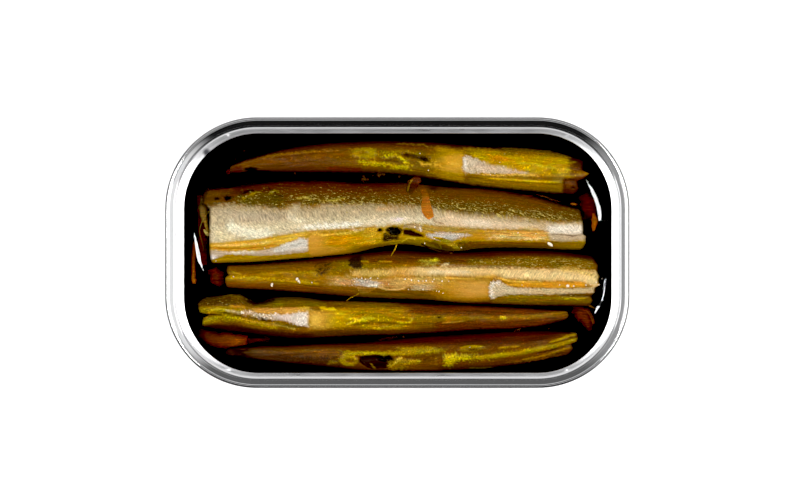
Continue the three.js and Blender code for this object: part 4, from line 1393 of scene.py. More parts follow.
lay(fish, band([(-40, -10.8, -12.2), (-37, -10.6, -12.2), (-35, -11.0, -12.2)]),
    (98, 72, 3), 0.8, 0.2, 0.9)
lay(fish, band([(-46.8, -12.8, -14.3), (-43, -12.6, -14.1), (-39, -12.9, -14.1),
    (-35.6, -13.4, -14.4)], "left"), (150, 124, 14), 0.4, 0.3, 1.0, 0.15, grain=0.9)
lay(fish, line([(-44.6, -13.8), (-42.4, -13.2), (-40.6, -13.3), (-38.6, -13.7)], 0.3),
    (196, 170, 28), 0.3, 0.3, 0.9, grain=0.9)
lay(fish, line([(-40.4, -13.5), (-38.4, -13.8), (-36.8, -14.2)], 0.3),
    (206, 186, 140), 0.4, 0.2, 0.9, 0.08, grain=0.3)
lay(fish, line([(-39.4, -12.5), (-37.6, -12.6), (-35.6, -12.8)], 0.3),
    (208, 146, 18), 0.4, 0.2, 0.9, grain=0.5)
lay(fish, band([(-46, -14.9, -17.6), (-42, -14.6, -16.6), (-38, -14.8, -16.4), (-34, -15.6, -17.2),
    (-29, -16.4, -18.0)], "left"), (132, 104, 8), 0.5, 0.4, 0.95, 0.1, grain=0.8)
lay(fish, line([(-46, -17.0), (-45.2, -16.2), (-43, -15.4), (-40, -14.9), (-38, -15.2),
    (-36, -16.0)], 0.5), (164, 144, 14), 0.5, 0.5, 0.95, 0.12, grain=1.0)
lay(fish, line([(-36.5, -15.8), (-33, -16.4), (-30, -17.1), (-28, -17.5)], 0.46),
    (184, 148, 28), 0.5, 0.4, 0.9, 0.05, grain=0.9)
lay(fish, line([(-29.4, -16.6), (-27, -17.0), (-25.4, -17.6), (-23.8, -18.1)], 0.34),
    (178, 152, 60), 0.3, 0.3, 0.9, grain=0.8, wrinkles=1.0)
lay(fish, band([(-45, -16.8, -18.4), (-40, -16.6, -18.6), (-34, -17.6, -19.2), (-26, -18.6, -20.2),
    (-18, -18.9, -20.1)], "left"), (62, 34, 3), 0.5, 0.3, 0.95, grain=0.5)
# A near-black groove sunk along the split between the lobes: painted shade in it.
lay(fish, line([(-47, -14.5), (-43, -14.45), (-40, -14.25), (-37, -14.6), (-34, -15.4), (-31, -15.9),
    (-28.6, -16.1)], 0.26), (50, 26, 1), 0.25, 0.1, 1.0, -0.5)
lay(fish, band([(-33.6, -12.4, -12.9), (-30, -11.0, -12.9), (-26, -10.4, -12.8), (-21, -10.6, -12.7),
    (-16.4, -11.7, -12.6)], "left right"), (112, 88, 4), 0.3, 0.08, 1.0, 0.45, fibres=0.6, grain=0.1)
lay(fish, band([(-31, -11.2, -11.9), (-25, -10.4, -11.3), (-19, -10.9, -11.5)]),
    (78, 58, 4), 0.6, 0.2, 0.8)
lay(fish, line([(-28.6, -12.1), (-26.8, -12.1)], 0.2), (156, 134, 18), 0.4, 0.1, 0.8)
lay(fish, band([(-34.4, -13.0, -14.0), (-30, -12.9, -14.5), (-25, -12.7, -14.5), (-20.4, -12.8, -14.0)]),
    (204, 152, 66), 0.5, 0.2, 0.95, fibres=0.5)
lay(fish, line([(-23.4, -13.0), (-21.8, -12.8), (-20.4, -13.2)], 0.26),
    (220, 178, 40), 0.4, 0.3, 0.8, grain=0.8)
lay(fish, line([(-36.4, -14.0), (-34.6, -14.0), (-33.0, -14.3)], 0.5),
    (222, 178, 150), 0.4, 0.4, 0.9, grain=0.9)
lay(fish, band([(-33.4, -14.1, -15.2), (-31.4, -14.4, -15.6), (-28.4, -14.3, -15.8)]),
    (216, 196, 176), 0.35, 0.35, 1.0, 0.12, grain=1.0)
# Dark gaps sunk between the white bits: painted shade in them.
lay(fish, oval(-31.6, -15.4, 0.6, 0.22, -10), (40, 18, 4), 0.3, 0.2, 1.0, -0.2)
lay(fish, oval(-32.6, -14.9, 0.4, 0.18, -20), (52, 26, 6), 0.3, 0.2, 0.9, -0.15)
lay(fish, band([(-29.4, -14.5, -15.6), (-26, -14.4, -16.2), (-23, -14.0, -17.1),
    (-21.0, -13.9, -17.4)], "right"),
    (228, 204, 188), 0.4, 0.2, 1.0, 0.1, wrinkles=0.4, grain=0.2, fibres=0.1)
lay(fish, band([(-24.4, -14.3, -16.8), (-22.6, -14.0, -17.2), (-20.8, -14.0, -17.3)], "right"),
    (244, 232, 214), 0.7, 0.6, 0.8, grain=0.9)
lay(fish, oval(-24.2, -15.2, 0.9, 0.4, 30), (192, 190, 168), 0.5, 0.3, 0.7)
lay(fish, band([(-29, -15.9, -16.7), (-26, -16.5, -17.4), (-22.4, -17.4, -18.0)]),
    (110, 84, 4), 0.3, 0.1, 0.95, -0.2)
lay(fish, band([(-20.8, -13.6, -17.7), (-18, -13.7, -17.9), (-15, -13.9, -17.6)], "left"),
    (232, 180, 72), 1.5, 0.4, 1.0, fibres=0.15, grain=0.05)
lay(fish, band([(-17.2, -13.4, -17.6), (-13, -13.2, -17.6), (-9, -13.2, -17.0)]),
    (198, 156, 8), 1.0, 0.3, 0.9, fibres=0.4)
lay(fish, line([(-18.2, -12.8), (-16.6, -13.2), (-14.4, -13.4)], 0.42),
    (226, 186, 18), 0.4, 0.2, 0.95, 0.06)
lay(fish, band([(-12, -12.4, -17.6), (-4, -12.6, -17.8), (4, -12.8, -17.8)]),
    (160, 124, 5), 1.2, 0.3, 0.8, fibres=0.9)
lay(fish, band([(-16.6, -11.4, -12.4), (-8, -11.4, -12.9), (0, -11.8, -12.8)]),
    (122, 92, 4), 0.5, 0.2, 0.8)
lay(fish, line([(-14.8, -14.3), (-12, -14.4)], 0.24), (214, 182, 24), 0.3, 0.1, 0.9)
lay(fish, line([(-12.2, -15.6), (-9, -15.6), (-5.4, -15.5)], 0.34),
    (214, 190, 20), 0.4, 0.4, 0.9, grain=0.9)
lay(fish, line([(-12, -17.0), (-10.4, -16.4), (-8.8, -16.0), (-7.0, -15.9)], 0.3),
    (226, 200, 30), 0.3, 0.1, 0.95, 0.12, grain=0.4)
lay(fish, line([(-11.4, -17.3), (-8, -16.6), (-3, -16.4), (2.6, -16.8), (8, -16.5)], 0.34),
    (110, 76, 3), 0.4, 0.1, 0.9, -0.3)
lay(fish, band([(-8, -16.9, -18.0), (-3, -16.9, -18.1), (1.4, -17.2, -18.0)]),
    (168, 138, 5), 0.5, 0.3, 0.9, grain=0.4)
lay(fish, line([(-6, -17.8), (-4, -17.7), (-2.4, -17.2)], 0.2), (204, 178, 40), 0.3, 0.3, 0.8, grain=0.9)
lay(fish, line([(-0.4, -16.2), (1.4, -16.5), (3.2, -16.4), (3.6, -15.6), (2.2, -15.1),
    (0.2, -15.3)], 0.26), (190, 162, 26), 0.3, 0.15, 0.95, 0.15, grain=0.4)
lay(fish, oval(1.2, -15.75, 1.1, 0.34), (122, 84, 3), 0.3, 0.1, 0.9, -0.15)
lay(fish, band([(-20, -18.2, -19.9), (-8, -18.2, -19.6), (2, -18.0, -19.0), (10, -17.4, -18.6)]),
    (88, 56, 3), 0.6, 0.2, 0.85)
lay(fish, band([(2, -12.2, -14.4), (14, -12.3, -14.8), (26, -12.7, -14.9), (40, -13.3, -14.6)], "right"),
    (92, 48, 2), 0.7, 0.2, 0.9, fibres=0.9)
lay(fish, band([(8, -16.0, -19.4), (18, -15.9, -18.6), (28, -15.6, -18.0), (40, -14.6, -16.6)], "right"),
    (90, 46, 2), 0.5, 0.2, 0.9, fibres=0.8)
lay(fish, line([(4, -15.0), (12, -15.2), (18, -15.3), (25, -15.2), (30, -15.0), (36, -14.4),
    (39.6, -14.0)], 0.34), (152, 112, 8), 0.5, 0.3, 0.85, fibres=0.9)
lay(fish, line([(24, -15.2), (25.6, -15.2)], 0.34), (212, 184, 22), 0.3, 0.2, 0.9, grain=0.9)
lay(fish, line([(10.4, -16.5), (13, -16.3), (16, -16.0)], 0.14), (190, 148, 44), 0.3, 0.05, 0.9, 0.05)
# A near-black pit: painted shade in it.
lay(fish, oval(9.8, -15.2, 0.75, 0.26), (36, 8, 1), 0.25, 0.1, 1.0, -0.2)
# A near-black line sunk along the edge of the folded leaf: painted shade in the fold.
lay(fish, line([(-35.6, -10.8), (-33.2, -11.9), (-30.8, -11.6), (-28.6, -10.9)], 0.5),
    (22, 8, 1), 0.6, 0.3, 0.85, -0.4)
dress_garfish(fish, "garfish_4")

# The fifth garfish lies by the near wall, with its left half just under the oil. A dark hole
# is torn in its middle, and stripes run up to its frayed right end.
fish = cut_garfish(
    "garfish_5_skin",
    stations=[
        (-40.6, -22.2, -24.6, 19.9),
        (-35.0, -21.8, -25.3, 20.5),
        (-26.0, -21.6, -26.3, 21.5),
        (-18.0, -21.2, -27.0, 22.0),
        (-10.0, -21.0, -27.8, 22.4),
        (-2.0, -20.4, -28.1, 22.6),
        (6.0, -19.6, -28.1, 22.8),
        (14.0, -19.1, -27.9, 22.8),
        (22.0, -18.6, -27.3, 22.8),
        (30.0, -18.2, -26.2, 22.7),
        (36.0, -18.3, -25.2, 22.6),
        (41.6, -18.5, -24.2, 22.3),
    ],
    thickness=0.85,
    roll=6,
    left_end=[(-24.5, -39.8), (-23.4, -40.6), (-22.6, -40.0)],
    right_end=[
        (-24.6, 39.8), (-23.4, 40.6), (-22.6, 41.2), (-21.4, 40.8), (-20.8, 42.2), (-19.9, 42.4),
        (-18.6, 42.1),
    ],
    ground=[
        (-1.15, (14, 5, 1)),
        (-0.95, (66, 38, 2)),
        (-0.6, (96, 58, 3)),
        (0.0, (106, 66, 3)),
        (0.5, (98, 58, 3)),
        (0.8, (84, 44, 3)),
        (0.98, (42, 16, 2)),
        (1.12, (10, 3, 1)),
    ],
    edges=(0.6, 0.8),
)
lay(fish, band([(-38, -21, -28), (-28, -21, -28), (-18, -20, -28)]), (66, 32, 2), 4.0, 0.4, 0.75)
lay(fish, line([(-35, -23.3), (-30, -23.3), (-22, -23.0), (-14, -23.2)], 0.6),
    (120, 80, 4), 0.7, 0.2, 0.9, fibres=0.9)
lay(fish, band([(-29, -24.4, -25.6), (-22, -24.3, -26.0), (-14, -24.3, -26.2)]),
    (66, 36, 3), 0.5, 0.5, 0.9, grain=1.0)
lay(fish, line([(-16.4, -26.2), (-15, -25.6), (-14, -25.9)], 0.4),
    (132, 104, 22), 0.4, 0.4, 0.8, grain=0.9)
lay(fish, oval(-11.4, -25.2, 2.3, 1.3, -4), (160, 132, 2), 0.35, 0.15, 1.0, 0.25, grain=0.3)
lay(fish, oval(-10.9, -25.4, 1.5, 0.55, -6), (116, 80, 3), 0.35, 0.1, 1.0, -0.2)
lay(fish, line([(-13.2, -25.8), (-12, -26.35), (-10, -26.4)], 0.2), (190, 160, 34), 0.3, 0.1, 0.9)
lay(fish, band([(-13, -23.0, -24.2), (-8, -23.1, -24.2), (-4, -23.1, -24.0), (0, -23.1, -24.2),
    (3.6, -23.2, -24.1)]), (168, 142, 3), 0.4, 0.3, 1.0, 0.1, grain=0.6)
lay(fish, line([(-8.4, -23.6), (-5, -23.4)], 0.22), (208, 180, 18), 0.3, 0.2, 0.9, grain=0.6)
# The hole: sunk in, with its near-black inside painted shade.
lay(fish, band([(-9.0, -24.4, -25.6), (-7, -24.1, -27.0), (-4, -24.0, -27.2), (-1.4, -24.3, -26.4),
    (-0.8, -24.8, -25.6)], "left right"), (40, 5, 1), 0.35, 0.25, 1.0, -1.2, grain=0.1, fibres=0.1)
lay(fish, oval(-3.0, -24.9, 1.9, 0.8, -4), (4, 1, 1), 0.5, 0.2, 1.0, -0.6)
lay(fish, line([(-4.1, -23.8), (-3.2, -24.1), (-2.2, -23.9)], 0.2), (226, 198, 60), 0.3, 0.1, 0.95, 0.1)
lay(fish, line([(-6.2, -26.2), (-5.6, -26.8), (-5.2, -27.2)], 0.22), (160, 128, 40), 0.3, 0.2, 0.9)
lay(fish, band([(-2.4, -25.9, -27.4), (0, -24.4, -27.6), (2, -24.6, -27.4),
    (5.6, -25.0, -26.2)], "left right"), (140, 108, 12), 0.5, 0.5, 0.95, grain=1.0)
lay(fish, line([(-2.2, -26.6), (-0.6, -26.0), (0.6, -24.8), (1.2, -24.6)], 0.3),
    (204, 172, 50), 0.3, 0.3, 0.85, grain=0.9)
lay(fish, line([(2.4, -25.8), (3.8, -25.3), (5.6, -25.4)], 0.3),
    (186, 160, 22), 0.3, 0.3, 0.85, grain=0.9)
lay(fish, band([(1.6, -24.1, -25.0), (5, -24.1, -25.1), (9, -23.8, -25.0)]), (96, 58, 3), 0.4, 0.2, 0.85)
lay(fish, band([(2, -26.4, -28.0), (6, -25.6, -28.0), (10.4, -24.6, -27.8)]),
    (112, 70, 3), 0.6, 0.2, 0.85)
lay(fish, band([(0, -22.2, -23.2), (4, -22.1, -23.9), (8, -22.0, -23.6), (11, -22.6, -23.2)]),
    (160, 132, 4), 0.5, 0.3, 0.9, grain=0.4)
lay(fish, oval(7.4, -22.8, 1.2, 0.55, 20), (172, 146, 14), 0.4, 0.4, 0.9, grain=1.0)
lay(fish, line([(6, -25.4), (7.6, -24.6), (9, -23.9)], 0.14), (44, 18, 2), 0.3, 0.05, 0.9, -0.25)
lay(fish, line([(9.2, -24.4), (9.0, -25.6), (9.4, -26.6)], 0.2), (134, 94, 8), 0.3, 0.1, 0.8, 0.1)
lay(fish, band([(10.8, -24.0, -26.2), (12.2, -23.6, -26.7), (14, -23.6, -25.6), (17, -23.9, -25.3),
    (20, -24.2, -25.0)], "left"), (176, 152, 4), 0.6, 0.6, 1.0, 0.15, grain=0.7)
lay(fish, line([(12, -25.9), (12.6, -24.7), (15, -24.6), (17.4, -24.7)], 0.5),
    (196, 174, 5), 0.7, 0.5, 0.85, grain=0.8)
lay(fish, oval(11.6, -26.1, 0.7, 0.4, 30), (196, 176, 10), 0.4, 0.4, 0.9, grain=0.9)
lay(fish, oval(17.4, -22.5, 3.0, 0.85, 4), (148, 118, 4), 0.35, 0.2, 1.0, 0.25, grain=0.5)
lay(fish, oval(17.7, -22.75, 2.0, 0.4, 2), (96, 64, 3), 0.3, 0.15, 0.95, -0.2, grain=0.9)
lay(fish, line([(15.4, -22.0), (17.4, -21.8), (19.6, -22.0)], 0.18),
    (186, 156, 34), 0.3, 0.2, 0.9, grain=0.6)
lay(fish, band([(-6, -20.4, -21.8), (4, -19.4, -21.6), (12, -19.2, -21.8), (24, -18.5, -21.6),
    (34, -18.2, -20.8), (38, -18.2, -19.8)]), (70, 28, 2), 0.6, 0.2, 0.9, fibres=0.6)
lay(fish, line([(23.4, -22.4), (26, -22.1), (28.6, -21.9)], 0.24),
    (172, 134, 12), 0.3, 0.15, 0.9, grain=0.5)
lay(fish, line([(17, -24.6), (22, -24.3), (28, -23.6), (33, -22.6), (37, -21.8), (41, -20.5),
    (42.4, -20.2)], 0.6), (158, 132, 4), 0.4, 0.15, 0.95, 0.15)
lay(fish, line([(35.6, -21.1), (38, -20.4), (40.4, -19.4), (42.4, -19.0)], 0.36),
    (168, 132, 8), 0.3, 0.15, 0.95, 0.12, grain=0.4)
lay(fish, line([(36, -21.4), (39, -20.6), (42.4, -19.7)], 0.14), (60, 30, 2), 0.25, 0.05, 0.9, -0.25)
lay(fish, line([(32.6, -23.7), (36, -22.9), (40.6, -21.4)], 0.2), (44, 18, 1), 0.25, 0.1, 0.95, -0.3)
lay(fish, line([(29, -25.2), (34, -24.3), (38, -23.0), (41, -22.0)], 0.32),
    (150, 110, 5), 0.35, 0.2, 0.9, 0.08, grain=0.4)
lay(fish, line([(25, -25.8), (31, -25.4), (36, -24.5), (39.4, -23.9)], 0.28),
    (132, 88, 26), 0.3, 0.3, 0.85, grain=1.0)
lay(fish, line([(17, -27.1), (20, -27.1), (22.6, -26.9)], 0.16), (150, 130, 16), 0.3, 0.1, 0.8)
lay(fish, band([(-41, -20, -29), (-37, -20, -29), (-30, -20, -29), (-24, -20, -29)], "left"),
    (34, 12, 1), 5.0, 0.4, 0.75)
lay(fish, band([(-30, -25.4, -29), (-20, -25.9, -29), (-12, -26.8, -29)]), (30, 10, 1), 0.8, 0.4, 0.8)
dress_garfish(fish, "garfish_5")

# Torn skin, membranes and threads lie on the fish, and shreds of flesh float by them or have
# sunk in the oil. The shreds are the same flesh and skin as the fish, so they are painted in the
# same way. A few bright pieces just under the oil are painted light: reflections by the walls,
# and a highlight on the edge of one sunk piece.
def top_of(x, y):
    """Height in millimetres of the fish, or of the oil, under each point."""
    heights = np.full(len(x), OIL_LEVEL + 0.02)
    for piece in fish_pieces:
        for i, (a, b) in enumerate(zip(x, y)):
            hit, place, _, _ = piece.ray_cast((a * MM, b * MM, 0.04), (0, 0, -1))
            if hit:
                heights[i] = max(heights[i], place.z / MM)
    return heights


def lay_shred(
    name,
    path,
    widths,
    colour,
    thickness=0.22,
    rise=0.08,
    depth=None,
    frayed=0.35,
    drop=None,
    **texture,
):
    """A strip along a path of (x, y) points. It lies on what is under it, or sinks to a depth
    in the oil. Colour may be one, or a pair for its two ends."""
    length = sum(math.dist(start, end) for start, end in zip(path, path[1:]))
    bpy.ops.object.select_all(action="DESELECT")
    steps = max(8, int(length / 0.22))
    bpy.ops.mesh.primitive_grid_add(x_subdivisions=steps, y_subdivisions=8, size=1.0)
    piece = bpy.context.object
    piece.name = name
    spots = places_of(piece)
    along, aside = spots[:, 0] + 0.5, spots[:, 1] * 2
    marks = np.linspace(0, 1, len(path))
    run_x = smooth_line(list(zip(marks, [x for x, _ in path])))
    run_y = smooth_line(list(zip(marks, [y for _, y in path])))
    wide = smooth_line(list(zip(np.linspace(0, 1, len(widths)), widths)))(along) / 2
    step_x = run_x(along + 0.02) - run_x(along - 0.02)
    step_y = run_y(along + 0.02) - run_y(along - 0.02)
    step = np.maximum(np.hypot(step_x, step_y), 1e-6)
    seed = abs(path[0][0]) + abs(path[0][1])
    wander = 1 + frayed * ripple(along * length * 1.1, np.sign(aside) * 3.0, seed)
    reach = aside * wide * wander
    x = run_x(along) - step_y / step * reach
    y = run_y(along) + step_x / step * reach
    ends = np.clip(np.minimum(along, 1 - along) * length / (0.4 if drop is None else 2.0), 0, 1)
    if drop is None:
        drop = 0.5 * min(thickness, 1.0)
    if depth is None:
        z = top_of(x, y) + rise
    else:
        z = OIL_LEVEL - depth + 0.3 * ripple(x * 0.4, y * 0.4, seed)
    z = z - drop * (1 - np.sqrt(np.clip(1 - aside**2, 0, 1)) * np.sqrt(ends))
    put_places(piece, np.column_stack([x, y, z]))
    thicken(piece, thickness)
    spots = places_of(piece)
    first, last = colour if isinstance(colour[0], tuple) else (colour, colour)
    span = np.subtract(path[-1], path[0])
    passed = (spots[:, :2] - path[0]) @ span
    share = np.clip(passed / max(span @ span, 1e-6), 0, 1)[:, None]
    tint = screen_colour(*first) * (1 - share) + screen_colour(*last) * share
    colour_piece(piece, spots[:, 0], spots[:, 1], tint, **{"fibres": 0.6, "grain": 0.3, **texture})
    finish_piece(piece, None, 60)


lay_shred("torn_strip", [(5.4, 15.8), (6.4, 14.0), (6.7, 12.0), (6.8, 10.4), (7.4, 9.0), (8.0, 8.0)],
    [1.2, 1.5, 2.0, 2.6, 2.4, 1.4], ((92, 54, 4), (196, 120, 40)), thickness=0.12, rise=0.05, frayed=0.12,
    grain=0.1)
lay_shred("torn_patch", [(2.6, 14.0), (3.4, 15.6), (4.4, 16.8), (5.6, 17.0)], [1.2, 2.6, 2.2, 0.8],
    ((72, 46, 6), (84, 34, 6)), rise=0.2, grain=0.9)
lay_shred("torn_patch_edge", [(2.4, 14.4), (2.8, 16.0), (3.6, 17.2)], [0.3, 0.5, 0.3], (128, 98, 20),
    rise=0.4, grain=0.9)
lay_shred("belly_flap", [(8.4, 3.6), (10.6, 3.0), (12.8, 1.9), (14.8, 0.6)], [0.4, 0.9, 1.3, 0.3],
    ((168, 142, 40), (150, 124, 44)), rise=0.12, frayed=0.15, grain=0.2, fibres=1.0)
lay_shred("belly_thread_dark", [(5.6, 2.0), (8.0, 0.9), (10.4, 0.2), (12.2, 0.2)], [0.3, 0.4, 0.3, 0.2],
    (58, 38, 4), rise=0.25)
lay_shred("belly_thread_gold", [(-0.2, 1.9), (-0.5, 0.9), (-1.5, -0.8)], [0.4, 0.35, 0.15],
    (190, 150, 26), rise=0.1)
lay_shred("belly_string", [(8.6, 2.9), (9.9, 1.9), (10.4, 0.6)], [0.35, 0.4, 0.2], (120, 104, 14),
    rise=0.3)
lay_shred("gill_flap", [(-9.4, -8.2), (-8.2, -9.0), (-6.6, -8.7), (-5.0, -8.3)], [0.4, 1.5, 1.0, 0.3],
    (150, 110, 44), rise=0.15, grain=0.2)
lay_shred("gill_thread", [(-12.2, -11.5), (-11.0, -10.6), (-9.6, -10.0), (-8.9, -9.4)],
    [0.2, 0.28, 0.3, 0.2], (166, 132, 40), rise=0.05)
lay_shred("tail_flap", [(43.8, -11.9), (45.2, -12.5), (46.4, -13.1)], [0.8, 0.7, 0.2], (104, 72, 10),
    rise=0.05)
lay_shred("end_membrane", [(-44.4, 15.0), (-45.5, 12.0), (-45.6, 9.0), (-44.9, 6.4), (-44.5, 4.2)],
    [0.9, 2.0, 1.8, 0.9, 0.5], ((52, 26, 3), (150, 116, 36)), rise=0.02, grain=0.4)
lay_shred("end_thread_long",
    [(-44.2, 9.8), (-45.4, 8.2), (-46.2, 6.4), (-46.5, 4.6), (-45.8, 2.2), (-45.4, 0.0)],
    [0.15, 0.22, 0.22, 0.22, 0.2, 0.12], ((150, 128, 60), (84, 60, 24)), rise=0.08)
lay_shred("end_flake", [(-45.5, 5.4), (-44.9, 4.6), (-44.4, 4.0)], [0.3, 0.8, 0.5], (196, 172, 96),
    rise=0.12)
lay_shred("gap_shred_long", [(29.0, 13.5), (30.4, 13.3), (32.0, 13.3)], [0.3, 0.6, 0.2], (118, 52, 6),
    rise=0.02)
lay_shred("gap_strand", [(32.6, 13.7), (34.8, 13.1), (36.6, 12.4), (38.4, 11.9)], [0.2, 0.5, 0.5, 0.2],
    (92, 50, 6), rise=0.02)
lay_shred("gap_flake", [(40.6, 11.5), (41.4, 11.4), (42.4, 11.3)], [0.4, 0.7, 0.3], (148, 84, 14),
    rise=0.03)
lay_shred("gap_bit", [(27.4, -18.4), (28.4, -18.1), (29.2, -17.8)], [0.2, 0.7, 0.2], (92, 56, 10),
    rise=0.03)
lay_shred("gap_skin", [(-4.6, -20.6), (-2.4, -20.2), (0.2, -19.9)], [0.3, 0.7, 0.3], (70, 24, 4),
    rise=0.02)
lay_shred("sunk_block", [(-47.0, -19.0), (-43.0, -20.3), (-39.0, -20.8), (-35.2, -20.6)],
    [2.4, 3.8, 3.6, 2.0], ((112, 60, 14), (224, 150, 46)), thickness=3.0, depth=0.7, frayed=0.2, drop=1.6,
    fibres=0.6)
lay_shred("sunk_block_tail", [(-35.4, -20.8), (-33.6, -20.6), (-30.0, -20.3)], [1.6, 1.2, 0.4],
    (130, 60, 20), thickness=1.0, depth=1.0, drop=0.9)
lay_shred("sunk_left", [(-43.4, -3.6), (-42.6, -5.6), (-41.2, -7.6)], [2.2, 3.6, 1.8], (176, 104, 34),
    thickness=1.2, depth=0.7, drop=1.6, fibres=1.0)
lay_shred("sunk_right", [(41.4, -13.2), (43.2, -14.2), (44.6, -15.8), (45.4, -18.4)],
    [1.8, 3.6, 3.2, 1.0], (150, 90, 38), thickness=1.4, depth=0.75, drop=1.1, fibres=1.0)
# Painted highlight along the edge of the sunk piece.
lay_shred("sunk_right_highlight", [(44.4, -13.4), (45.6, -14.9), (46.2, -16.8)], [0.2, 0.3, 0.2],
    (176, 112, 44), thickness=0.5, depth=0.5)
lay_shred("sunk_top_right", [(43.8, 13.8), (45.0, 11.0), (44.8, 7.6)], [2.6, 4.0, 2.6], (150, 78, 40),
    thickness=1.2, depth=1.2, drop=1.8)
# Painted reflection: a bright amber piece just under the oil by the right wall stands for light reflected
# off the wall and seen through the oil.
lay_shred("sunk_lens", [(46.1, 9.2), (46.4, 7.2), (46.1, 5.0)], [0.5, 1.5, 0.6], (250, 160, 40),
    thickness=0.6, depth=0.4, drop=0.6)
lay_shred("sunk_far_left", [(-46.6, 13.5), (-45.8, 4.0), (-45.6, -3.0)], [1.4, 2.2, 1.6], (170, 60, 30),
    thickness=1.2, depth=2.1)
# Painted reflection: an amber strip just under the oil by the left wall, brightest at its near end,
# stands for light reflected off the tin wall and seen through the oil.
lay_shred("sunk_amber", [(-47.8, 2.4), (-48.0, -1.0), (-48.0, -4.0), (-47.9, -6.4), (-47.7, -7.4)],
    [0.6, 1.0, 1.0, 1.2, 0.7], ((150, 76, 18), (240, 160, 44)), thickness=0.8, depth=0.35, drop=0.8)
lay_shred("sunk_tail", [(-35.6, 20.0), (-38.0, 19.4), (-40.4, 19.0)], [1.4, 1.4, 0.4], (150, 40, 20),
    thickness=1.0, depth=0.8)

# Loose crumbs of cooked flesh float in the oil between the fish. Each is a small rough lump,
# and they are painted like the fish.
CRUMBS = [
    (-12.5, 18.1, 0.26),
    (-7.9, 17.9, 0.3),
    (-5.9, 18.1, 0.28),
    (-4.3, 18.3, 0.6),
    (-3.4, 18.5, 0.4),
    (0.4, 17.9, 0.34),
    (-7.8, 17.3, 0.5),
    (-7.0, 17.2, 0.3),
    (-24.0, 18.7, 0.3),
    (-36.0, 23.9, 0.2),
    (-38.0, 22.0, 0.2),
    (1.4, -19.8, 0.34),
    (12.6, -0.2, 0.4),
    (35.6, -17.9, 0.24),
]


def round_lump(x, y, size, **shape):
    """A lump with its middle on what lies under it."""
    place = (x, y, float(top_of([x], [y])[0]))
    bpy.ops.mesh.primitive_ico_sphere_add(subdivisions=3, radius=size, location=place, **shape)
    return bpy.context.object


def join_lumps(name, lumps):
    """Joins lumps into one piece."""
    for lump in lumps:
        lump.select_set(True)
    bpy.ops.object.join()
    joined = bpy.context.object
    joined.name = name
    bpy.ops.object.transform_apply(location=True, rotation=True, scale=True)
    return joined


bpy.ops.object.select_all(action="DESELECT")
crumbs = join_lumps("loose_crumbs", [round_lump(*row) for row in CRUMBS])
spots = places_of(crumbs)
rough = ripple(spots[:, 0] * 3.1, spots[:, 1] * 3.1, 2.2)
spots[:, 0] += 0.4 * rough
spots[:, 1] += 0.3 * ripple(spots[:, 1] * 2.7, spots[:, 2] * 3.3, 5.2)
spots[:, 2] += 0.12 * rough - 0.12
put_places(crumbs, spots)
tint = np.outer(0.5 + 1.2 * np.abs(rough), screen_colour(92, 58, 12))
colour_piece(crumbs, spots[:, 0], spots[:, 1], tint, grain=0.9, fibres=0.3)
finish_piece(crumbs, None, 60)

# Pale domes stick to the wet skin as beads of fat and a few loose scales. Their near-white
# colour is painted glints, where the skin catches the light. Each is a round lump, sunk to its
# middle so that it shows as a low dome.
GLINT_BEADS = [
    (5.3, 23.2, 0.13), (7.3, 19.2, 0.16), (24.0, 21.2, 0.10), (21.8, 18.3, 0.12),
    (22.8, 18.5, 0.10),     (8.7, 3.3, 0.18), (6.4, 2.2, 0.16), (15.0, 1.2, 0.13), (4.1, 6.0, 0.16),
    (5.4, 5.6, 0.19),     (28.2, 4.6, 0.13), (32.4, 4.4, 0.11), (36.6, 3.4, 0.10), (-43.2, -1.3, 0.26),
    (-42.6, -2.0, 0.16),     (-40.0, -0.1, 0.10), (-36.2, -0.6, 0.08), (-31.0, 1.0, 0.08),
    (-29.4, -7.4, 0.26), (-29.4, -7.8, 0.21),     (-23.5, -6.2, 0.30), (-23.1, -6.7, 0.32),
    (-22.9, -7.1, 0.16), (-20.0, -7.0, 0.18), (-38.4, -5.6, 0.11),     (-9.5, -6.0, 0.16),
    (-8.3, -6.0, 0.18), (-7.5, -6.2, 0.14), (-6.3, -6.0, 0.18),
    (-4.6, -6.0, 0.16),     (-10.6, -7.6, 0.13), (-10.0, -6.8, 0.11), (-5.4, -7.6, 0.19),
    (-6.6, -7.8, 0.14), (-2.0, -7.4, 0.13),     (1.8, -6.2, 0.19), (3.3, -6.5, 0.16), (5.0, -6.6, 0.19),
    (6.0, -6.7, 0.16), (6.8, -6.6, 0.16),     (8.2, -6.8, 0.19), (8.6, -6.3, 0.11), (10.5, -6.7, 0.18),
    (12.0, -6.7, 0.16), (2.6, -8.6, 0.13),     (6.0, -8.6, 0.16), (9.2, -9.0, 0.14), (9.8, -9.1, 0.16),
    (10.7, -9.5, 0.13), (10.5, -7.6, 0.11),     (38.0, -7.6, 0.16), (39.9, -7.8, 0.35),
    (41.3, -7.9, 0.18), (44.2, -7.6, 0.16), (45.2, -7.5, 0.14),     (46.6, -7.0, 0.19),
    (47.2, -7.5, 0.18), (29.2, -7.6, 0.11), (21.9, -7.0, 0.16),
    (22.0, -9.9, 0.18),     (22.6, -10.6, 0.14), (31.2, -9.6, 0.10), (-36.4, -14.0, 0.37),
    (-36.0, -14.2, 0.21), (-34.5, -13.9, 0.19),     (-33.6, -14.6, 0.16), (-32.2, -14.4, 0.13),
    (-30.6, -14.6, 0.16), (-29.6, -15.4, 0.16), (-28.5, -14.2, 0.21),     (-31.2, -15.2, 0.13),
    (-22.0, -16.9, 0.19), (-21.4, -16.4, 0.26), (-22.6, -15.4, 0.16),
    (-21.8, -14.6, 0.14),     (17.0, -22.2, 0.13), (48.1, -6.1, 0.13),
]
bpy.ops.object.select_all(action="DESELECT")
domes = [round_lump(*row) for row in GLINT_BEADS]
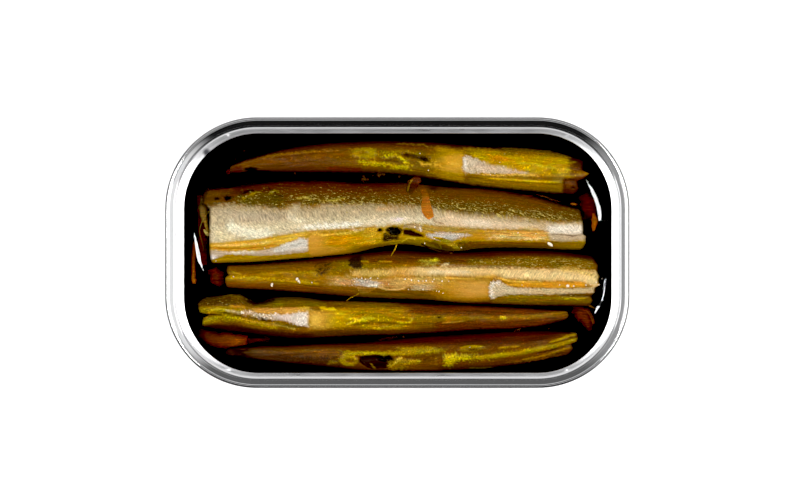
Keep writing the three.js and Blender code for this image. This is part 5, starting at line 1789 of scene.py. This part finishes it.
domes.append(round_lump(35.8, 2.0, 0.42, rotation=(0, 0, -0.7), scale=(2.0, 1.0, 0.8)))
beads = join_lumps("glint_beads", domes)
spots = places_of(beads)
spots[:, 0] += 0.16 * ripple(spots[:, 0] * 3.3, spots[:, 1] * 3.3, 3.3)
spots[:, 1] += 0.16 * ripple(spots[:, 0] * 3.7, spots[:, 1] * 3.5, 4.3)
put_places(beads, spots)
# Painted glints: near white, with a little noise in their tint.
glint_paint, glint_tree, glint_shader = new_paint("pale_glint")
glint_place = add(glint_tree, "ShaderNodeTexCoord").outputs["Object"]
glint_clouds = add(glint_tree, "ShaderNodeTexNoise", Vector=glint_place, Scale=2200.0, Detail=2.0)
glint_tone = mix_colour(glint_tree, glint_clouds.outputs["Fac"], (0.80, 0.62, 0.36), (1.0, 0.95, 0.86))
glint_tree.links.new(glint_tone, glint_shader.inputs["Base Color"])
glint_shader.inputs["Roughness"].default_value = 0.18
glint_shader.inputs["Specular IOR Level"].default_value = 0.6
beads.data.materials.append(glint_paint)
finish_piece(beads, None, 60)

# The oil fills the tin round the fish. It is clear amber, nearly black where it is deep, and
# it climbs up the wall and a little up each fish. Its skin is rucked beside the cut ends,
# and those rucks catch the two lamps.
OIL_STEP = 0.4
OIL_REACH = 0.15
WALL_CLIMB = 0.5
WALL_FADE = 0.6
FISH_CLIMB = 0.06
FISH_FADE = 1.0
RUCK_SLOPE = 0.245
RUCK_MESH_REACH = 1.0
OIL_SIDES = [
    (6.0, (0.996, 0.993, 0.2), 14.0),
    (8.0, (0.99, 0.985, 0.0), 5.0),
    (3.6, (0.93, 0.9, 0.0), 1.4),
]
RUCKS = [
    [(-47.8, 4.9, 0.2), (-47.3, 2.5, 0.85), (-46.9, 0.0, 1.1), (-46.5, -2.0, 1.0), (-45.5, -4.3, 0.25)],
    [
        (44.2, 17.3, 0.2), (45.6, 15.0, 0.85), (46.5, 13.0, 1.05), (47.3, 10.5, 1.1), (47.6, 8.6, 1.0),
        (47.5, 7.4, 0.5),
    ],
    [
        (48.8, -6.0, 0.4), (48.7, -8.0, 0.5), (48.5, -10.0, 0.5), (48.0, -11.4, 0.6), (47.4, -12.4, 1.0),
        (46.9, -13.4, 0.9), (46.2, -14.6, 0.2),
    ],
]

oil_inset = WALL_TOP_INSET + TIN_SHEET - OIL_REACH
oil_length = TIN_LENGTH - 2 * oil_inset
oil_width = TIN_WIDTH - 2 * oil_inset
bpy.ops.object.select_all(action="DESELECT")
bpy.ops.mesh.primitive_grid_add(
    size=1.0, x_subdivisions=int(oil_length / OIL_STEP), y_subdivisions=int(oil_width / OIL_STEP)
)
oil = bpy.context.object
oil.name = "amber_oil"
oil.scale = (oil_length, oil_width, 1.0)
bpy.ops.object.transform_apply(scale=True)
clear_selection("VERT")
spots = places_of(oil)
margin = from_outline(spots[:, 0], spots[:, 1], oil_inset)
for vertex, gap in zip(oil.data.vertices, margin):
    vertex.select = bool(gap < -0.5 * OIL_STEP)
bpy.ops.object.mode_set(mode="EDIT")
bpy.ops.mesh.delete(type="VERT")
bpy.ops.mesh.select_all(action="SELECT")
bpy.ops.mesh.region_to_loop()
bpy.ops.object.mode_set(mode="OBJECT")
edge_mask = np.array([vertex.select for vertex in oil.data.vertices])
spots = places_of(oil)
from_x = np.clip(spots[:, 0], -CORNER_X, CORNER_X)
from_y = np.clip(spots[:, 1], -CORNER_Y, CORNER_Y)
away = np.column_stack([spots[:, 0] - from_x, spots[:, 1] - from_y])
reach = np.maximum(np.hypot(away[:, 0], away[:, 1]), 1e-6)
snapped = (away / reach[:, None]) * (CORNER_RADIUS - oil_inset)
spots[edge_mask, 0] = (from_x + snapped[:, 0])[edge_mask]
spots[edge_mask, 1] = (from_y + snapped[:, 1])[edge_mask]
put_places(oil, spots)

# The rucks need a finer mesh than the rest.
clear_selection("VERT")
close = np.full(len(spots), np.inf)
for path in RUCKS:
    close = np.minimum(close, -line([(x, y) for x, y, _ in path], 0.0)(spots[:, 0], spots[:, 1]))
for vertex, gap in zip(oil.data.vertices, close):
    vertex.select = bool(gap < RUCK_MESH_REACH)
bpy.ops.object.mode_set(mode="EDIT")
bpy.ops.mesh.subdivide(number_cuts=3)
bpy.ops.object.mode_set(mode="OBJECT")
spots = places_of(oil)

from_wall = np.maximum(from_outline(spots[:, 0], spots[:, 1], oil_inset), 0)
rise = WALL_CLIMB * np.exp(-from_wall / WALL_FADE)
near = np.full(len(spots), np.inf)
for node in sorted({row[3] for row in waterlines}):
    rows = [row for row in waterlines if row[3] == node]
    shore = [(at, low) for at, low, _, _ in rows] + [(at, high) for at, _, high, _ in rows]
    for at, low, high, _ in (rows[0], rows[-1]):
        shore += [(at, y) for y in np.arange(low, high, 0.25)]
    shore = np.array(shore)
    ats = np.array([row[0] for row in rows])
    lows = np.interp(spots[:, 0], ats, [row[1] for row in rows])
    highs = np.interp(spots[:, 0], ats, [row[2] for row in rows])
    within = (spots[:, 0] > ats[0]) & (spots[:, 0] < ats[-1])
    within = within & (spots[:, 1] > lows) & (spots[:, 1] < highs)
    for start in range(0, len(shore), 300):
        part = shore[start:start + 300]
        gaps = np.hypot(spots[:, None, 0] - part[None, :, 0], spots[:, None, 1] - part[None, :, 1])
        near = np.minimum(near, gaps.min(axis=1))
    near[within] = 0.0
rise = rise + FISH_CLIMB * np.exp(-near / FISH_FADE)
for path in RUCKS:
    upright = sorted(path, key=lambda point: point[1])
    ys = [y for _, y, _ in upright]
    middle = np.interp(spots[:, 1], ys, [x for x, _, _ in upright])
    width = np.interp(spots[:, 1], ys, [wide for _, _, wide in upright], left=0.0, right=0.0) + 1e-4
    outward = (spots[:, 0] - middle) * np.sign(path[0][0])
    rise = rise + RUCK_SLOPE * width * np.clip(outward / width + 0.5, 0, 1)
spots[:, 2] = OIL_LEVEL + rise
put_places(oil, spots)
bpy.ops.object.mode_set(mode="EDIT")
bpy.ops.mesh.select_all(action="SELECT")
bpy.ops.mesh.region_to_loop()
for drop, shrink, level in OIL_SIDES:
    bpy.ops.mesh.extrude_region_move(TRANSFORM_OT_translate={"value": (0, 0, -drop)})
    bpy.ops.transform.resize(value=shrink, center_override=(0, 0, level))
bpy.ops.mesh.edge_face_add()
bpy.ops.mesh.select_all(action="SELECT")
bpy.ops.mesh.normals_make_consistent(inside=False)
bpy.ops.object.mode_set(mode="OBJECT")

amber, amber_tree, oil_shader = new_paint("amber_oil")
oil_shader.inputs["Base Color"].default_value = (1.0, 1.0, 1.0, 1.0)
oil_shader.inputs["Roughness"].default_value = 0.02
oil_shader.inputs["IOR"].default_value = 1.46
oil_shader.inputs["Transmission Weight"].default_value = 1.0
depth = add(amber_tree, "ShaderNodeVolumeAbsorption")
depth.inputs["Color"].default_value = (0.72, 0.30, 0.02, 1.0)
depth.inputs["Density"].default_value = 720.0
amber_tree.links.new(depth.outputs[0], amber_tree.nodes["Material Output"].inputs["Volume"])
oil.data.materials.append(amber)
finish_piece(oil, "oil", 60)
